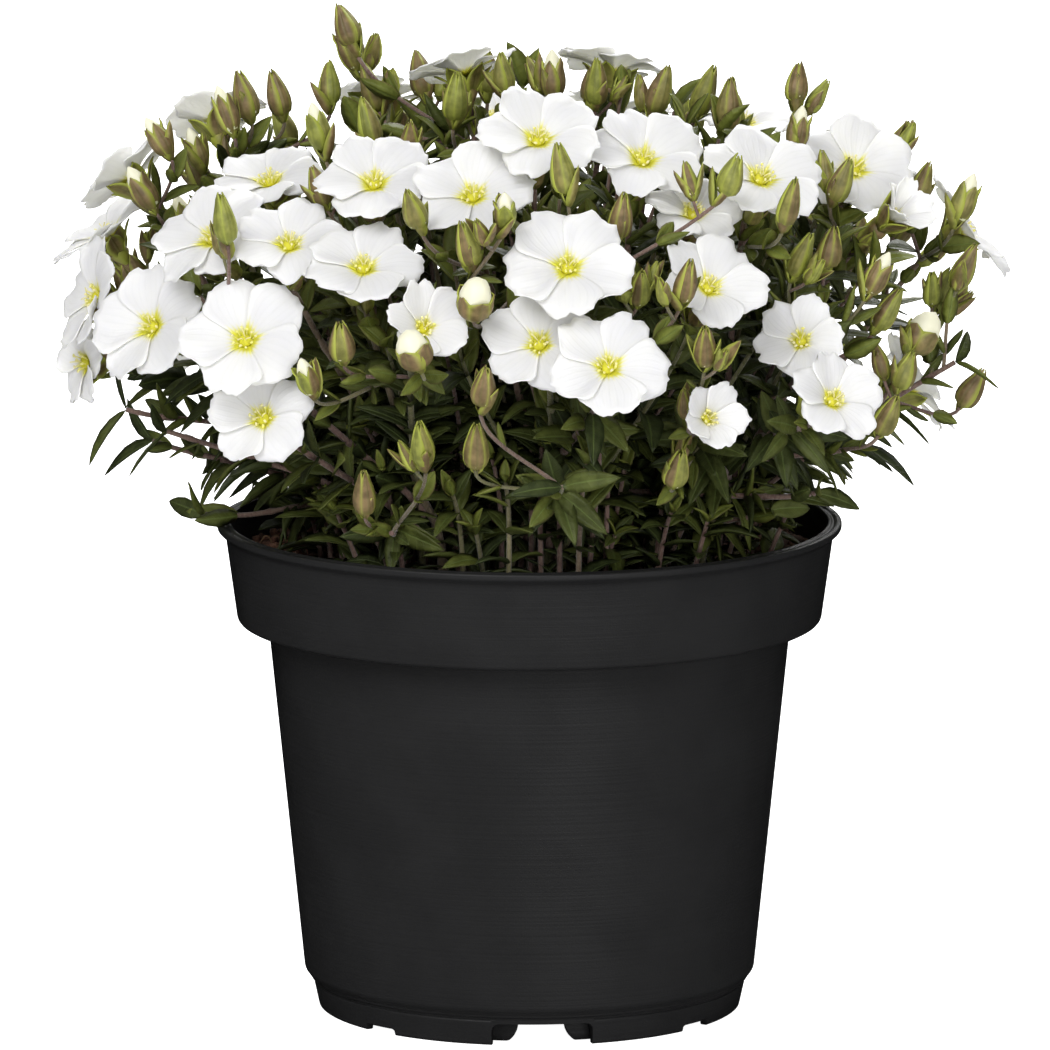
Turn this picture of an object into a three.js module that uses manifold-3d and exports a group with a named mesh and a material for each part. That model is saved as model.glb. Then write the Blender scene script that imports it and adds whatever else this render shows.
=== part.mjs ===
// A potted mountain sandwort (Arenaria montana) in a black nursery pot, in millimetres, +Z up.
// The origin is the middle of the circle that the pot's foot stands on, and -Y is the side that is looked at.
// The pot and the potting mix are turned shapes. The plant is a crown of leafy stems: the stems of a group
// rise from one plain hole in the mix, and end in white blooms, in tufts of leaves, or in buds on stalks.
import * as THREE from "three";
import { mergeVertices } from "three/addons/utils/BufferGeometryUtils.js";
import Module from "manifold-3d";

const wasm = await Module();
wasm.setup();

// Pot: the standard 12 cm size
const TURN_STEPS = 32;
const WALL = 1.1;
const POT_HEIGHT = 94.5;
const LIP = { radius: 60.0, height: 2.4 };
const BAND = { topRadius: 58.4, footRadius: 56.1, foot: 75.3 };
const BODY = { topRadius: 50.3, footRadius: 43.4, foot: 7.4 };
const SKIRT = { topRadius: 41.8, top: 5.4, footRadius: 40.6, width: 1.5 };
const FLOOR = { under: 4.4, top: 5.6 };
const INNER_RING = { outer: 37.6, inner: 36.2, foot: 0.3 };
const ARCH = { azimuths: [3.5, 183.5], width: 19.3, height: 4.3, corner: 1.2, flare: 3.2, gate: 8.7 };
const SMALL_NOTCH = { azimuths: [-44.5, 51.5, 135.5, 231.5], width: 7.6, height: 1.2 };
const DRAIN_HOLES = { count: 6, radius: 4.0, circle: 24.0, sides: 6 };

// Potting mix
const SOIL = { top: 84.0, gap: 0.4, relief: 0.8, radii: [18, 36], humps: 5, rimDrop: 1.5 };
const STEM_HOLE = { depth: 6.0, gap: 0.4, sides: 6 };

// Plant
const SEED = 20121;
const VIEW_ELEVATION = 10;
const CROWN = { radius: 85, near: 77, far: 86.5, foot: 100, height: 79, power: 2.6, neck: 57, flare: 0.8 };
const GROUPS = { count: 14, circle: 40, most: 4 };
const REAR_BLOOMS = 9;
const REAR_BUDS = 18;
const RIM_TUFTS = 10;
const GOLDEN_ANGLE = Math.PI * (3 - Math.sqrt(5));
const LEADER = { radius: 1.4, rise: 2, stations: [0, 1, 8, 14, 18, 21], sides: 4 };
const STEM = { radius: 0.85, points: 21, stations: [1, 7, 13, 17, 20], sides: 3, rounds: 60, fixed: 2 };
const STALK = { radius: 0.62, points: 7, stations: [1, 2], sides: 3, tries: 160 };
const STALK_FIT = { from: 6, length: 13, perLength: 0.7, perSlant: 9 };
const STEM_ROOM = 1.6;
const STALK_ROOM = 1.9;
const LEAF_ROOM = { own: 2.0, other: 2.6, half: 1.7, mix: 3.5, rim: 2.5, inside: 53 };
const CUP_ROOM = 4.0;
const CUP_MARGIN = { bloom: 2.4, bud: 4, stalk: 2, leaf: 3 };
const BUD_ROOM = 6;
const BUD_HALF = 2.5;
const REAR_APART = 25;
const NEIGHBOURS = 36;
const ROOT = { behind: 0.35, neck: 2.6 };
const FIRST_BRANCH = 4;
const BRANCH_STEP = 2;
const SEAT = 1.3;
const CALYX = { tip: 4.4, notch: 2.5, drop: 4.6 };
const PETAL_THICK = 0.75;
const BUD = { length: 9.5, radius: 2.3 };
const LEAF = { length: 12.5, width: 4.4, thick: 0.8, curl: 0.18, widest: 0.42, behind: 0.025 };
const LEAF_NUDGES = [0, 0.5, -0.5, 1.0, -1.0];
const LEAF_NODES = { leader: [8, 12, 17], bloom: [7, 14], tuft: [13, 20] };
const TUFTS_PER_GROUP = 2;

// Blooms of the near side: across and up in the picture plane, the way that each faces (azimuth from the
// viewer, positive to the right, and elevation), diameter, openness from 0, a ball, to 1, flat, and for some
// how far behind the crown's skin they stand
const NEAR_BLOOMS = [
  [-84, 123, -62, 6, 17, 1],
  [-81.5, 135, -72, 18, 23, 1],
  [-81, 147, -84, 55, 24, 1, 16],
  [-70.5, 129, -38, 28, 24, 1],
  [-59, 145, -42, 48, 24.5, 1],
  [-49, 156, -25, 66, 21, 1, 12],
  [-45, 143.5, 2, 55, 21.5, 1],
  [-49.5, 111.5, -22, 30, 20.5, 1],
  [-53, 126, -8, 32, 24.5, 1],
  [-31, 139, 0, 55, 22.5, 1],
  [-29, 155, -5, 54, 23, 1],
  [-20, 128, 15, 30, 16, 0.6],
  [-10.5, 152.5, -5, 50, 23.5, 1],
  [1.5, 163, 8, 54, 24, 1],
  [21, 159.5, 20, 52, 24.5, 1],
  [2, 125, -12, 35, 21.5, 1],
  [14.5, 120.5, 2, 38, 23, 1],
  [7, 139, 2, 42, 25, 1],
  [30.5, 149.5, 15, 55, 19, 1, 8],
  [33, 135.5, 22, 40, 21, 0.9],
  [43, 156, 28, 50, 24, 1],
  [32.5, 111.5, 25, 20, 13, 0.55],
  [51, 126, -10, 30, 17, 0.8, 6],
  [56, 114.5, 30, 38, 19, 0.9],
  [61.5, 159, 15, 45, 23, 1],
  [68, 149.5, 45, 35, 11, 0.3],
  [82, 148, 92, 36, 24, 1],
];

// Blooms of the far side that show over the top of the crown
const FAR_BLOOMS = [
  [-5.5, 171, 0, 76, 22, 1],
  [17, 171, 150, 76, 22, 1],
  [41.5, 169, 40, 76, 22, 1],
  [-28, 174, 180, 70, 20, 1],
  [-76, 158, -120, 45, 21, 1],
  [-60, 165, -160, 56, 20, 1],
  [64, 161, 130, 60, 21, 1],
];

// Buds of the near side: across, up, and openness from 0, closed, to 1, with white petal tips
const NEAR_BUDS = [
  [-54.5, 174, 0], [-48.5, 175, 0], [-58, 171, 1], [-64, 164, 1], [-71, 166, 1], [-74, 156, 1],
  [-55, 161.5, 0], [-40, 167, 1], [-57, 149, 0], [-39.5, 155.5, 0], [-35, 184, 1], [-38.5, 177, 0],
  [-21, 179, 0], [-14, 173, 0], [-30.5, 176, 0], [-5, 178, 0], [-22.5, 164, 0], [-30.5, 168, 0],
  [4.5, 178, 1], [12.8, 176.5, 0], [6, 158, 0], [25, 175, 0], [-21.5, 150.5, 0], [-11.5, 144, 0],
  [-25, 141, 0], [20.5, 136, 0], [29, 137, 0], [17, 149.5, 0], [30.5, 149, 0], [51.5, 177, 0],
  [51, 167, 1], [38, 172, 0], [65.5, 168.5, 0], [71, 165, 0], [75, 157, 0], [59, 157, 0],
  [37.5, 157, 0], [48.5, 152, 0], [83, 154, 1], [51, 142.5, 0], [56.5, 144, 0], [79, 137, 0],
  [83, 141, 0], [67.5, 132.5, 0], [71, 121, 0], [84.5, 118, 0], [67.5, 112.5, 0], [-20, 107, 0],
  [-8.5, 117.5, 0], [-10, 106.5, 0], [27.5, 102.5, 0], [-41.5, 119.5, 1], [-35, 126, 0], [-31, 98, 0],
  [-10, 134, 2], [-21.5, 124.5, 2], [-4.5, 150, 1], [65.5, 139, 1], [74.5, 128.5, 2], [32.5, 125, 0],
];

// Tufts of leaves that stand out of the crown's lower edge: across and up in the picture plane, and azimuth
const NEAR_TUFTS = [
  [-77, 114, -70], [-72, 108, -60], [-62, 94, -80], [81, 123, 80], [63, 107, 60], [54, 98, 50],
];

const SIN_VIEW = Math.sin(THREE.MathUtils.degToRad(VIEW_ELEVATION));
const COS_VIEW = Math.cos(THREE.MathUtils.degToRad(VIEW_ELEVATION));
const TO_VIEWER = new THREE.Vector3(0, -COS_VIEW, SIN_VIEW);
const UP = new THREE.Vector3(0, 0, 1);
const ANY_OWNER = -1;

// Seeded draws, the same in every run
let drawState = SEED;
function draw() {
  drawState = (drawState * 16807) % 2147483647;
  return drawState / 2147483647;
}

function between(low, high) {
  return low + (high - low) * draw();
}

function mixed(low, high, part) {
  return low + (high - low) * part;
}

function point(x, y, z) {
  return new THREE.Vector3(x, y, z);
}

function facing(azimuth, elevation) {
  const turn = THREE.MathUtils.degToRad(azimuth);
  const rise = THREE.MathUtils.degToRad(elevation);
  return point(Math.sin(turn) * Math.cos(rise), -Math.cos(turn) * Math.cos(rise), Math.sin(rise));
}

// Two directions square to an axis and to each other, the first one as level as it can be
function sideways(axis) {
  const level = point(-axis.y, axis.x, 0);
  if (level.length() < 1e-6) level.set(1, 0, 0);
  level.normalize();
  return [level, axis.clone().cross(level).normalize()];
}

// How far out a place is: below 1 inside the crown, a rounded dome whose underside narrows to the pot
function crownReach(place) {
  const depth = place.y < 0 ? CROWN.near : CROWN.far;
  const out = Math.hypot(place.x, (place.y * CROWN.radius) / depth);
  const rise = Math.abs(place.z - CROWN.foot) / CROWN.height;
  const dome = (out / CROWN.radius) ** CROWN.power + rise ** CROWN.power;
  const under = out / (CROWN.neck + CROWN.flare * Math.max(place.z - POT_HEIGHT, 0));
  return Math.max(dome, under);
}

// The place on the crown's near or far skin that shows at a place of the picture plane
function onCrown(across, up, far) {
  let best = null;
  let least = Infinity;
  for (let step = -110; step <= 110; step += 1) {
    const y = far ? -step : step;
    const place = point(across, y, (up - y * SIN_VIEW) / COS_VIEW);
    const reach = crownReach(place);
    if (reach < 1) return place;
    if (reach < least) {
      least = reach;
      best = place;
    }
  }
  return best;
}

// The slope of a petal along its length, and the cup that it draws: distance out and height over the
// bloom's middle at a part of the petal's length
function petalCurve(bloom, part) {
  const first = THREE.MathUtils.degToRad(mixed(80, 36, bloom.open));
  const last = THREE.MathUtils.degToRad(mixed(66, -4, bloom.open));
  const steps = 8;
  let out = 0;
  let height = 0;
  for (let step = 0; step < steps; step += 1) {
    const slope = mixed(first, last, (part * (step + 0.5)) / steps);
    out += (Math.cos(slope) * part) / steps;
    height += (Math.sin(slope) * part) / steps;
  }
  return { out, height, slope: mixed(first, last, part) };
}

function inBloom(bloom, out, turn, height) {
  return bloom.middle.clone()
    .addScaledVector(bloom.across, out * Math.cos(turn))
    .addScaledVector(bloom.along, out * Math.sin(turn))
    .addScaledVector(bloom.axis, height);
}

// Places all over a bloom's cup, which the rest of the plant keeps clear of
function bloomMarks(bloom) {
  const marks = [bloom.middle.clone()];
  for (const [part, count] of [[0.33, 6], [0.65, 11], [0.96, 18]]) {
    const curve = petalCurve(bloom, part);
    for (let step = 0; step < count; step += 1) {
      const turn = (2 * Math.PI * step) / count;
      marks.push(inBloom(bloom, curve.out * bloom.petal, turn, curve.height * bloom.petal));
    }
  }
  return marks;
}

// Places down the cup of sepals and the top of the stem, which other blooms keep clear of
function bloomRoot(bloom) {
  return [-3, -6.5, -10].map((height) => inBloom(bloom, 0, 0, height));
}

function makeBloom(middle, azimuth, elevation, diameter, open) {
  const axis = facing(azimuth, elevation);
  const [across, along] = sideways(axis);
  const bloom = { middle, axis, across, along, open, petal: 1 };
  bloom.petal = diameter / 2 / petalCurve(bloom, 1).out;
  bloom.rim = { out: diameter / 2, height: bloom.petal * petalCurve(bloom, 1).height };
  bloom.turn = between(0, 2 * Math.PI);
  bloom.waves = Array.from({ length: 15 }, () => between(-0.035, 0.035));
  return bloom;
}

function closest(places, others) {
  let least = Infinity;
  for (const place of places) {
    for (const other of others) least = Math.min(least, place.distanceTo(other));
  }
  return least;
}

// Where a place lies from a bloom's cup: how far over it along the axis, and how far beyond its rim
function fromCup(bloom, place) {
  const way = place.clone().sub(bloom.middle);
  const height = way.dot(bloom.axis);
  const outward = way.addScaledVector(bloom.axis, -height);
  const out = outward.length() + 1e-9;
  const cup = bloom.rim.height * Math.min(out / bloom.rim.out, 1) ** 0.6;
  return { over: height - cup, beyond: out - bloom.rim.out, outward: outward.divideScalar(out) };
}

function meetsCup(bloom, places, margin) {
  return places.some((place) => {
    const { over, beyond } = fromCup(bloom, place);
    return Math.abs(over) < margin && beyond < margin * 0.6;
  });
}

// Moves a bloom along a way, a millimetre at a time, until it is clear of the blooms before it
function settleBloom(bloom, way, blooms) {
  for (let step = 0; step < 16; step += 1) {
    bloom.marks = bloomMarks(bloom);
    bloom.root = bloomRoot(bloom);
    const own = bloom.marks.concat(bloom.root);
    const near = blooms.filter((other) => other.middle.distanceTo(bloom.middle) < NEIGHBOURS);
    const meets = near.some((other) => meetsCup(other, own, CUP_MARGIN.bloom)
      || meetsCup(bloom, other.marks.concat(other.root), CUP_MARGIN.bloom));
    if (!meets) break;
    bloom.middle.add(way);
  }
  blooms.push(bloom);
}

// Places spread evenly over the crown's skin, from the top down to a height, by the golden angle
function crownSpread(count, lowest) {
  return Array.from({ length: count }, (_, step) => {
    const rise = 1 - (1 - lowest) * ((step + 0.5) / count);
    const out = Math.sqrt(1 - rise * rise);
    const turn = step * GOLDEN_ANGLE;
    const way = point(Math.cos(turn) * out, Math.sin(turn) * out, rise);
    const place = point(way.x * CROWN.radius, way.y * CROWN.radius, CROWN.foot + way.z * CROWN.height);
    const centre = point(0, 0, CROWN.foot);
    const shrink = crownReach(place) ** (-1 / CROWN.power);
    return place.sub(centre).multiplyScalar(shrink).add(centre);
  });
}

function placeBlooms() {
  const blooms = [];
  for (const [across, up, azimuth, elevation, diameter, open, back = 0] of NEAR_BLOOMS) {
    const middle = onCrown(across, up, false).addScaledVector(TO_VIEWER, -back);
    settleBloom(makeBloom(middle, azimuth, elevation, diameter, open), TO_VIEWER, blooms);
  }
  for (const [across, up, azimuth, elevation, diameter, open] of FAR_BLOOMS) {
    settleBloom(makeBloom(onCrown(across, up, true), azimuth, elevation, diameter, open), UP, blooms);
  }
  let left = REAR_BLOOMS;
  for (const place of crownSpread(64, 0.18)) {
    const apart = Math.min(...blooms.map((other) => other.middle.distanceTo(place)));
    if (left > 0 && place.y > 8 && apart > REAR_APART) {
      const azimuth = THREE.MathUtils.radToDeg(Math.atan2(place.x, -place.y)) + between(-18, 18);
      const rise = (place.z - CROWN.foot) / CROWN.height;
      settleBloom(makeBloom(place, azimuth, mixed(22, 70, rise), between(21, 25), 1), UP, blooms);
      left -= 1;
    }
  }
  return blooms;
}

function startBud(middle, open) {
  const lean = 0.5 / CROWN.radius;
  const axis = point(middle.x * lean, middle.y * lean, 1);
  axis.x += between(-0.22, 0.22);
  axis.y += between(-0.22, 0.22);
  const length = BUD.length * between(0.85, 1.12);
  const swell = 1 + 0.3 * Math.max(open - 1, 0);
  return { middle, axis: axis.normalize(), open, length, radius: BUD.radius * between(0.9, 1.1) * swell };
}

function budMarks(bud) {
  return [-0.3, 0.05, 0.4].map((part) => bud.middle.clone().addScaledVector(bud.axis, part * bud.length));
}

function settleBud(bud, way, blooms, buds) {
  for (let step = 0; step < 26; step += 1) {
    bud.marks = budMarks(bud);
    const meets = blooms.some((other) => meetsCup(other, bud.marks, CUP_MARGIN.bud));
    if (!meets && buds.every((other) => closest(bud.marks, other.marks) > BUD_ROOM)) break;
    bud.middle.add(way);
  }
  buds.push(bud);
}

function placeBuds(blooms) {
  const buds = [];
  for (const [across, up, open] of NEAR_BUDS) {
    settleBud(startBud(onCrown(across, up, false), open), TO_VIEWER, blooms, buds);
  }
  let left = REAR_BUDS;
  for (const place of crownSpread(90, 0.1)) {
    const bud = startBud(place, draw() < 0.25 ? 1 : 0);
    const clear = !blooms.some((other) => meetsCup(other, budMarks(bud), CUP_MARGIN.bud));
    if (left > 0 && place.y > 10 && clear) {
      settleBud(bud, UP, blooms, buds);
      left -= 1;
    }
  }
  return buds;
}

function placeTufts() {
  const tufts = NEAR_TUFTS.map(([across, up, azimuth]) => {
    return { middle: onCrown(across, up, false), axis: facing(azimuth, 30) };
  });
  for (let step = 0; step < RIM_TUFTS; step += 1) {
    const turn = step * GOLDEN_ANGLE;
    const height = between(98, 116);
    const out = (CROWN.neck + CROWN.flare * (height - POT_HEIGHT)) * between(0.86, 1.0);
    tufts.push({
      middle: point(Math.cos(turn) * out, Math.sin(turn) * out, height),
      axis: point(Math.cos(turn), Math.sin(turn), between(0.4, 1.0)).normalize(),
    });
  }
  return tufts;
}

// The groups' feet, spread over the mix by the golden angle
function placeFeet() {
  return Array.from({ length: GROUPS.count }, (_, step) => {
    const out = GROUPS.circle * Math.sqrt((step + 0.35) / GROUPS.count);
    const turn = step * GOLDEN_ANGLE + 0.6;
    return point(Math.cos(turn) * out, Math.sin(turn) * out, SOIL.top);
  });
}

// A way from one place to another as a cubic curve that leaves along one direction and arrives along another
function bentWay(start, leave, end, arrive, count) {
  const pull = start.distanceTo(end) * 0.3;
  const second = start.clone().addScaledVector(leave, pull);
  const third = end.clone().addScaledVector(arrive, -pull);
  return new THREE.CubicBezierCurve3(start.clone(), second, third, end.clone()).getPoints(count - 1);
}

// The foot that is nearest to a place drawn in to the feet's circle, of those whose groups aren't full
function choosesFoot(feet, place, loads) {
  const scale = GROUPS.circle / CROWN.radius;
  let chosen = 0;
  let least = Infinity;
  feet.forEach((foot, index) => {
    const full = loads[index] >= GROUPS.most ? 100 : 0;
    const apart = Math.hypot(foot.x - place.x * scale, foot.y - place.y * scale) + full;
    if (apart < least) {
      least = apart;
      chosen = index;
    }
  });
  loads[chosen] += 1;
  return chosen;
}

// Bends stems and stalks clear: each inner point moves towards the middle of its neighbours, away from what
// belongs to another group and comes too near, and off the cup of any bloom but its own, out past the rim.
// All points move at once, so that their order has no part. What is left is straight between the stations.
function bendClear(paths, obstacles, blooms) {
  for (let round = 0; round < STEM.rounds; round += 1) {
    const others = obstacles.concat(pathObstacles(paths));
    for (const path of paths) {
      const old = path.points;
      path.points = old.map((place, index) => {
        if (index < STEM.fixed || index >= old.length - STEM.fixed) return place;
        const middle = old[index - 1].clone().add(old[index + 1]).multiplyScalar(0.5);
        const move = middle.sub(place).multiplyScalar(0.5);
        for (const other of others) {
          const need = other.radius + path.radius + STEM_ROOM;
          const apart = place.distanceTo(other.place);
          if (other.owner !== path.owner && apart < need) {
            move.addScaledVector(place.clone().sub(other.place), ((need - apart) / apart) * 0.6);
          }
        }
        for (const bloom of blooms) {
          if (bloom === path.bloom) continue;
          const { over, beyond, outward } = fromCup(bloom, place);
          if (Math.abs(over) < CUP_ROOM && beyond < CUP_ROOM) {
            move.addScaledVector(outward, Math.min(CUP_ROOM - beyond, 1.2));
            move.addScaledVector(bloom.axis, 0.3 * Math.sign(over) * (CUP_ROOM - Math.abs(over)));
          }
        }
        return place.clone().add(move);
      });
    }
  }
  for (const path of paths) path.points = straightened(path.points, path.stations);
}

function straightened(points, stations) {
  const all = [0, ...stations.filter((index) => index > 0)];
  return points.map((place, index) => {
    const next = all.findIndex((station) => station >= index);
    if (all[next] === index) return place;
    const [low, high] = [all[next - 1], all[next]];
    return points[low].clone().lerp(points[high], (index - low) / (high - low));
  });
}

function budObstacles(buds) {
  return buds.flatMap((bud) => bud.marks.map((place) => {
    return { place, radius: BUD_HALF, owner: bud.owner ?? ANY_OWNER };
  }));
}

function pathObstacles(paths) {
  return paths.flatMap(({ points, radius, owner }) => points.map((place) => ({ place, radius, owner })));
}

// Every bloom and tuft belongs to the group whose foot suits it best. The end nearest to the group's middle
// has the leading stem, which rises from the foot, and the other stems branch from that one in turn.
function growStems(feet, blooms, tufts, buds) {
  const loads = feet.map(() => 0);
  const ends = blooms.map((bloom) => ({
    owner: choosesFoot(feet, bloom.middle, loads),
    bloom,
    axis: bloom.axis,
    end: bloom.middle.clone().addScaledVector(bloom.axis, -SEAT - CALYX.drop),
  }));
  const tuftLoads = feet.map(() => GROUPS.most - TUFTS_PER_GROUP);
  ends.push(...tufts.map((tuft) => ({
    owner: choosesFoot(feet, tuft.middle, tuftLoads), bloom: null, axis: tuft.axis, end: tuft.middle,
  })));
  const fixed = budObstacles(buds);
  const leaders = feet.map((foot, owner) => {
    const own = ends.filter((each) => each.owner === owner);
    const mean = own.reduce((sum, each) => sum.add(each.end), point(0, 0, 0)).divideScalar(own.length);
    const nearer = (one, other) => (other.end.distanceTo(mean) < one.end.distanceTo(mean) ? other : one);
    const chosen = own.reduce(nearer);
    const bottom = foot.clone().addScaledVector(UP, STEM_HOLE.gap - STEM_HOLE.depth);
    const start = foot.clone().addScaledVector(UP, LEADER.rise);
    const points = [bottom, ...bentWay(start, UP, chosen.end, chosen.axis, STEM.points)];
    return { ...chosen, radius: LEADER.radius, stations: LEADER.stations, points, leads: true };
  });
  bendClear(leaders, fixed, blooms);
  const branches = leaders.flatMap((leader) => ends
    .filter((each) => each.owner === leader.owner && each.end !== leader.end)
    .sort((one, other) => other.end.distanceTo(leader.end) - one.end.distanceTo(leader.end))
    .map((each, order) => {
      const index = FIRST_BRANCH + BRANCH_STEP * order;
      const start = leader.points[index];
      const leave = each.end.clone().sub(start).normalize()
        .add(leader.points[index + 1].clone().sub(leader.points[index - 1]).normalize()).normalize();
      const points = bentWay(start, leave, each.end, each.axis, STEM.points);
      return { ...each, radius: STEM.radius, stations: STEM.stations, points, leads: false };
    }));
  bendClear(branches, fixed.concat(pathObstacles(leaders)), blooms);
  return leaders.concat(branches);
}

// Whether a straight stalk would pass through a bloom, or too near to another group's stems and stalks
function wayIsClear(start, end, owner, blooms, taken) {
  const ways = Array.from({ length: 12 }, (_, step) => start.clone().lerp(end, 0.15 + step / 12));
  if (blooms.some((bloom) => meetsCup(bloom, ways, CUP_MARGIN.stalk))) return false;
  return taken.every((other) => other.owner === owner
    || ways.every((place) => place.distanceTo(other.place) > other.radius + STALK_ROOM));
}

// Each bud's stalk is straight and springs from the stem whose place, distance and slant suit it best. A bud
// that no stalk reaches is left out.
function growStalks(stems, blooms, buds) {
  const stalks = [];
  const taken = pathObstacles(stems);
  for (const bud of buds) {
    const foot = bud.middle.clone().addScaledVector(bud.axis, -bud.length * 0.5);
    const starts = stems.flatMap((stem) => stem.points.slice(STALK_FIT.from, -1).map((start) => {
      const way = foot.clone().sub(start);
      const length = way.length();
      const slant = 1 - way.dot(bud.axis) / length;
      const fault = STALK_FIT.perLength * Math.abs(length - STALK_FIT.length) + STALK_FIT.perSlant * slant;
      return { start, owner: stem.owner, fault };
    }));
    starts.sort((one, other) => one.fault - other.fault);
    const suits = ({ start, owner }) => wayIsClear(start, foot, owner, blooms, taken);
    const chosen = starts.slice(0, STALK.tries).find(suits);
    if (chosen) {
      const { start, owner } = chosen;
      const parts = Array.from({ length: STALK.points }, (_, step) => step / (STALK.points - 1));
      const points = parts.map((part) => start.clone().lerp(foot, part));
      bud.owner = owner;
      stalks.push({ owner, radius: STALK.radius, points, bud });
      taken.push(...pathObstacles(stalks.slice(-1)), ...budObstacles([bud]));
    }
  }
  return stalks;
}

// A leaf's way: it leaves the stem at a slant and curves over
function leafWay(start, along, side, length, slant, curl) {
  const out = along.clone().multiplyScalar(Math.cos(slant)).addScaledVector(side, Math.sin(slant));
  const bend = side.clone().multiplyScalar(Math.cos(slant)).addScaledVector(along, -Math.sin(slant));
  return (part) => start.clone()
    .addScaledVector(out, length * part)
    .addScaledVector(bend, length * curl * part * part)
    .addScaledVector(UP, -length * 0.5 * curl * part * part);
}

// Whether a leaf stays over the mix and the pot's rim, off the blooms, and clear of what is taken
function leafIsClear(marks, owner, taken, blooms) {
  const overMix = marks.every((place) => place.z > SOIL.top + LEAF_ROOM.mix
    && (place.z > POT_HEIGHT + LEAF_ROOM.rim || Math.hypot(place.x, place.y) < LEAF_ROOM.inside));
  if (!overMix || blooms.some((bloom) => meetsCup(bloom, marks, CUP_MARGIN.leaf))) return false;
  return taken.every((other) => {
    const need = other.radius + (other.owner === owner ? LEAF_ROOM.own : LEAF_ROOM.other);
    return marks.every((place) => place.distanceTo(other.place) > need);
  });
}

// Opposite leaves, each pair square to the pair before, on every stem. A leaf that would meet another
// group's stem, bud, leaf or bloom is turned about its stem, or left out.
function growLeaves(stems, stalks, blooms, buds) {
  const taken = budObstacles(buds).concat(pathObstacles(stems), pathObstacles(stalks));
  const leaves = [];
  for (const stem of stems) {
    let turn = between(0, Math.PI);
    for (const index of stem.leads ? LEAF_NODES.leader : LEAF_NODES[stem.bloom ? "bloom" : "tuft"]) {
      const place = stem.points[index];
      const ahead = stem.points[Math.min(index + 1, stem.points.length - 1)];
      const along = ahead.clone().sub(stem.points[index - 1]).normalize();
      const [first, second] = sideways(along);
      turn += Math.PI / 2 + between(-0.25, 0.25);
      const length = LEAF.length * between(0.85, 1.2);
      const slant = between(0.7, 1.1);
      for (const half of [0, Math.PI]) {
        for (const nudge of LEAF_NUDGES) {
          const angle = turn + half + nudge;
          const side = first.clone().multiplyScalar(Math.cos(angle)).addScaledVector(second, Math.sin(angle));
          const way = leafWay(place, along, side, length, slant, LEAF.curl);
          const marks = [0.35, 0.62, 0.9].map(way);
          if (leafIsClear(marks, stem.owner, taken, blooms)) {
            leaves.push({ owner: stem.owner, way, along, side, width: LEAF.width * between(0.85, 1.15) });
            for (const mark of marks) taken.push({ place: mark, radius: LEAF_ROOM.half, owner: stem.owner });
            break;
          }
        }
      }
    }
  }
  return leaves;
}

// A closed mesh as a solid that can be joined and cut, its faces turned outwards
function toSolid(geometry) {
  const bare = geometry.index ? geometry.toNonIndexed() : geometry.clone();
  for (const name of Object.keys(bare.attributes)) {
    if (name !== "position") bare.deleteAttribute(name);
  }
  const merged = mergeVertices(bare, 1e-4);
  const vertProperties = new Float32Array(merged.attributes.position.array);
  const corners = Array.from(merged.index.array);
  const triVerts = [];
  for (let start = 0; start < corners.length; start += 3) {
    const [a, b, c] = corners.slice(start, start + 3);
    if (a !== b && b !== c && c !== a) triVerts.push(a, b, c);
  }
  const place = (corner) => new THREE.Vector3().fromArray(vertProperties, corner * 3);
  let volume = 0;
  for (let start = 0; start < triVerts.length; start += 3) {
    volume += place(triVerts[start]).dot(place(triVerts[start + 1]).cross(place(triVerts[start + 2])));
  }
  if (volume < 0) {
    for (let start = 0; start < triVerts.length; start += 3) {
      [triVerts[start], triVerts[start + 1]] = [triVerts[start + 1], triVerts[start]];
    }
  }
  const mesh = new wasm.Mesh({ numProp: 3, vertProperties, triVerts: new Uint32Array(triVerts) });
  return new wasm.Manifold(mesh);
}

function toGeometry(solid) {
  const mesh = solid.getMesh();
  const geometry = new THREE.BufferGeometry();
  geometry.setAttribute("position", new THREE.Float32BufferAttribute(mesh.vertProperties, 3));
  geometry.setIndex(Array.from(mesh.triVerts));
  geometry.computeVertexNormals();
  return geometry;
}

function fromFaces(places, faces) {
  const geometry = new THREE.BufferGeometry();
  const numbers = places.flatMap((place) => place.toArray());
  geometry.setAttribute("position", new THREE.Float32BufferAttribute(numbers, 3));
  geometry.setIndex(faces.flat());
  return geometry;
}

function joined(solids) {
  return solids.reduce((whole, next) => whole.add(next));
}

function turnedGeometry(outline) {
  const places = outline.map(([radius, height]) => new THREE.Vector2(radius, height));
  return new THREE.LatheGeometry(places, TURN_STEPS).rotateX(Math.PI / 2);
}

// A turned shape: its outline, as pairs of radius and height, goes once round the pot's axis
function turned(outline) {
  return toSolid(turnedGeometry(outline));
}

// A bar that runs outwards at an azimuth: its outline is in width and height
function radialBar(shape, azimuth, from, to) {
  const settings = { depth: to - from, bevelEnabled: false, curveSegments: 3 };
  const geometry = new THREE.ExtrudeGeometry(shape, settings);
  geometry.rotateX(Math.PI / 2);
  geometry.translate(0, -from, 0);
  return toSolid(geometry.rotateZ(THREE.MathUtils.degToRad(azimuth)));
}

function upright(radius, low, high, sides, x, y) {
  const geometry = new THREE.CylinderGeometry(radius, radius, high - low, sides);
  return toSolid(geometry.rotateX(Math.PI / 2).translate(x, y, (low + high) / 2));
}

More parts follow.
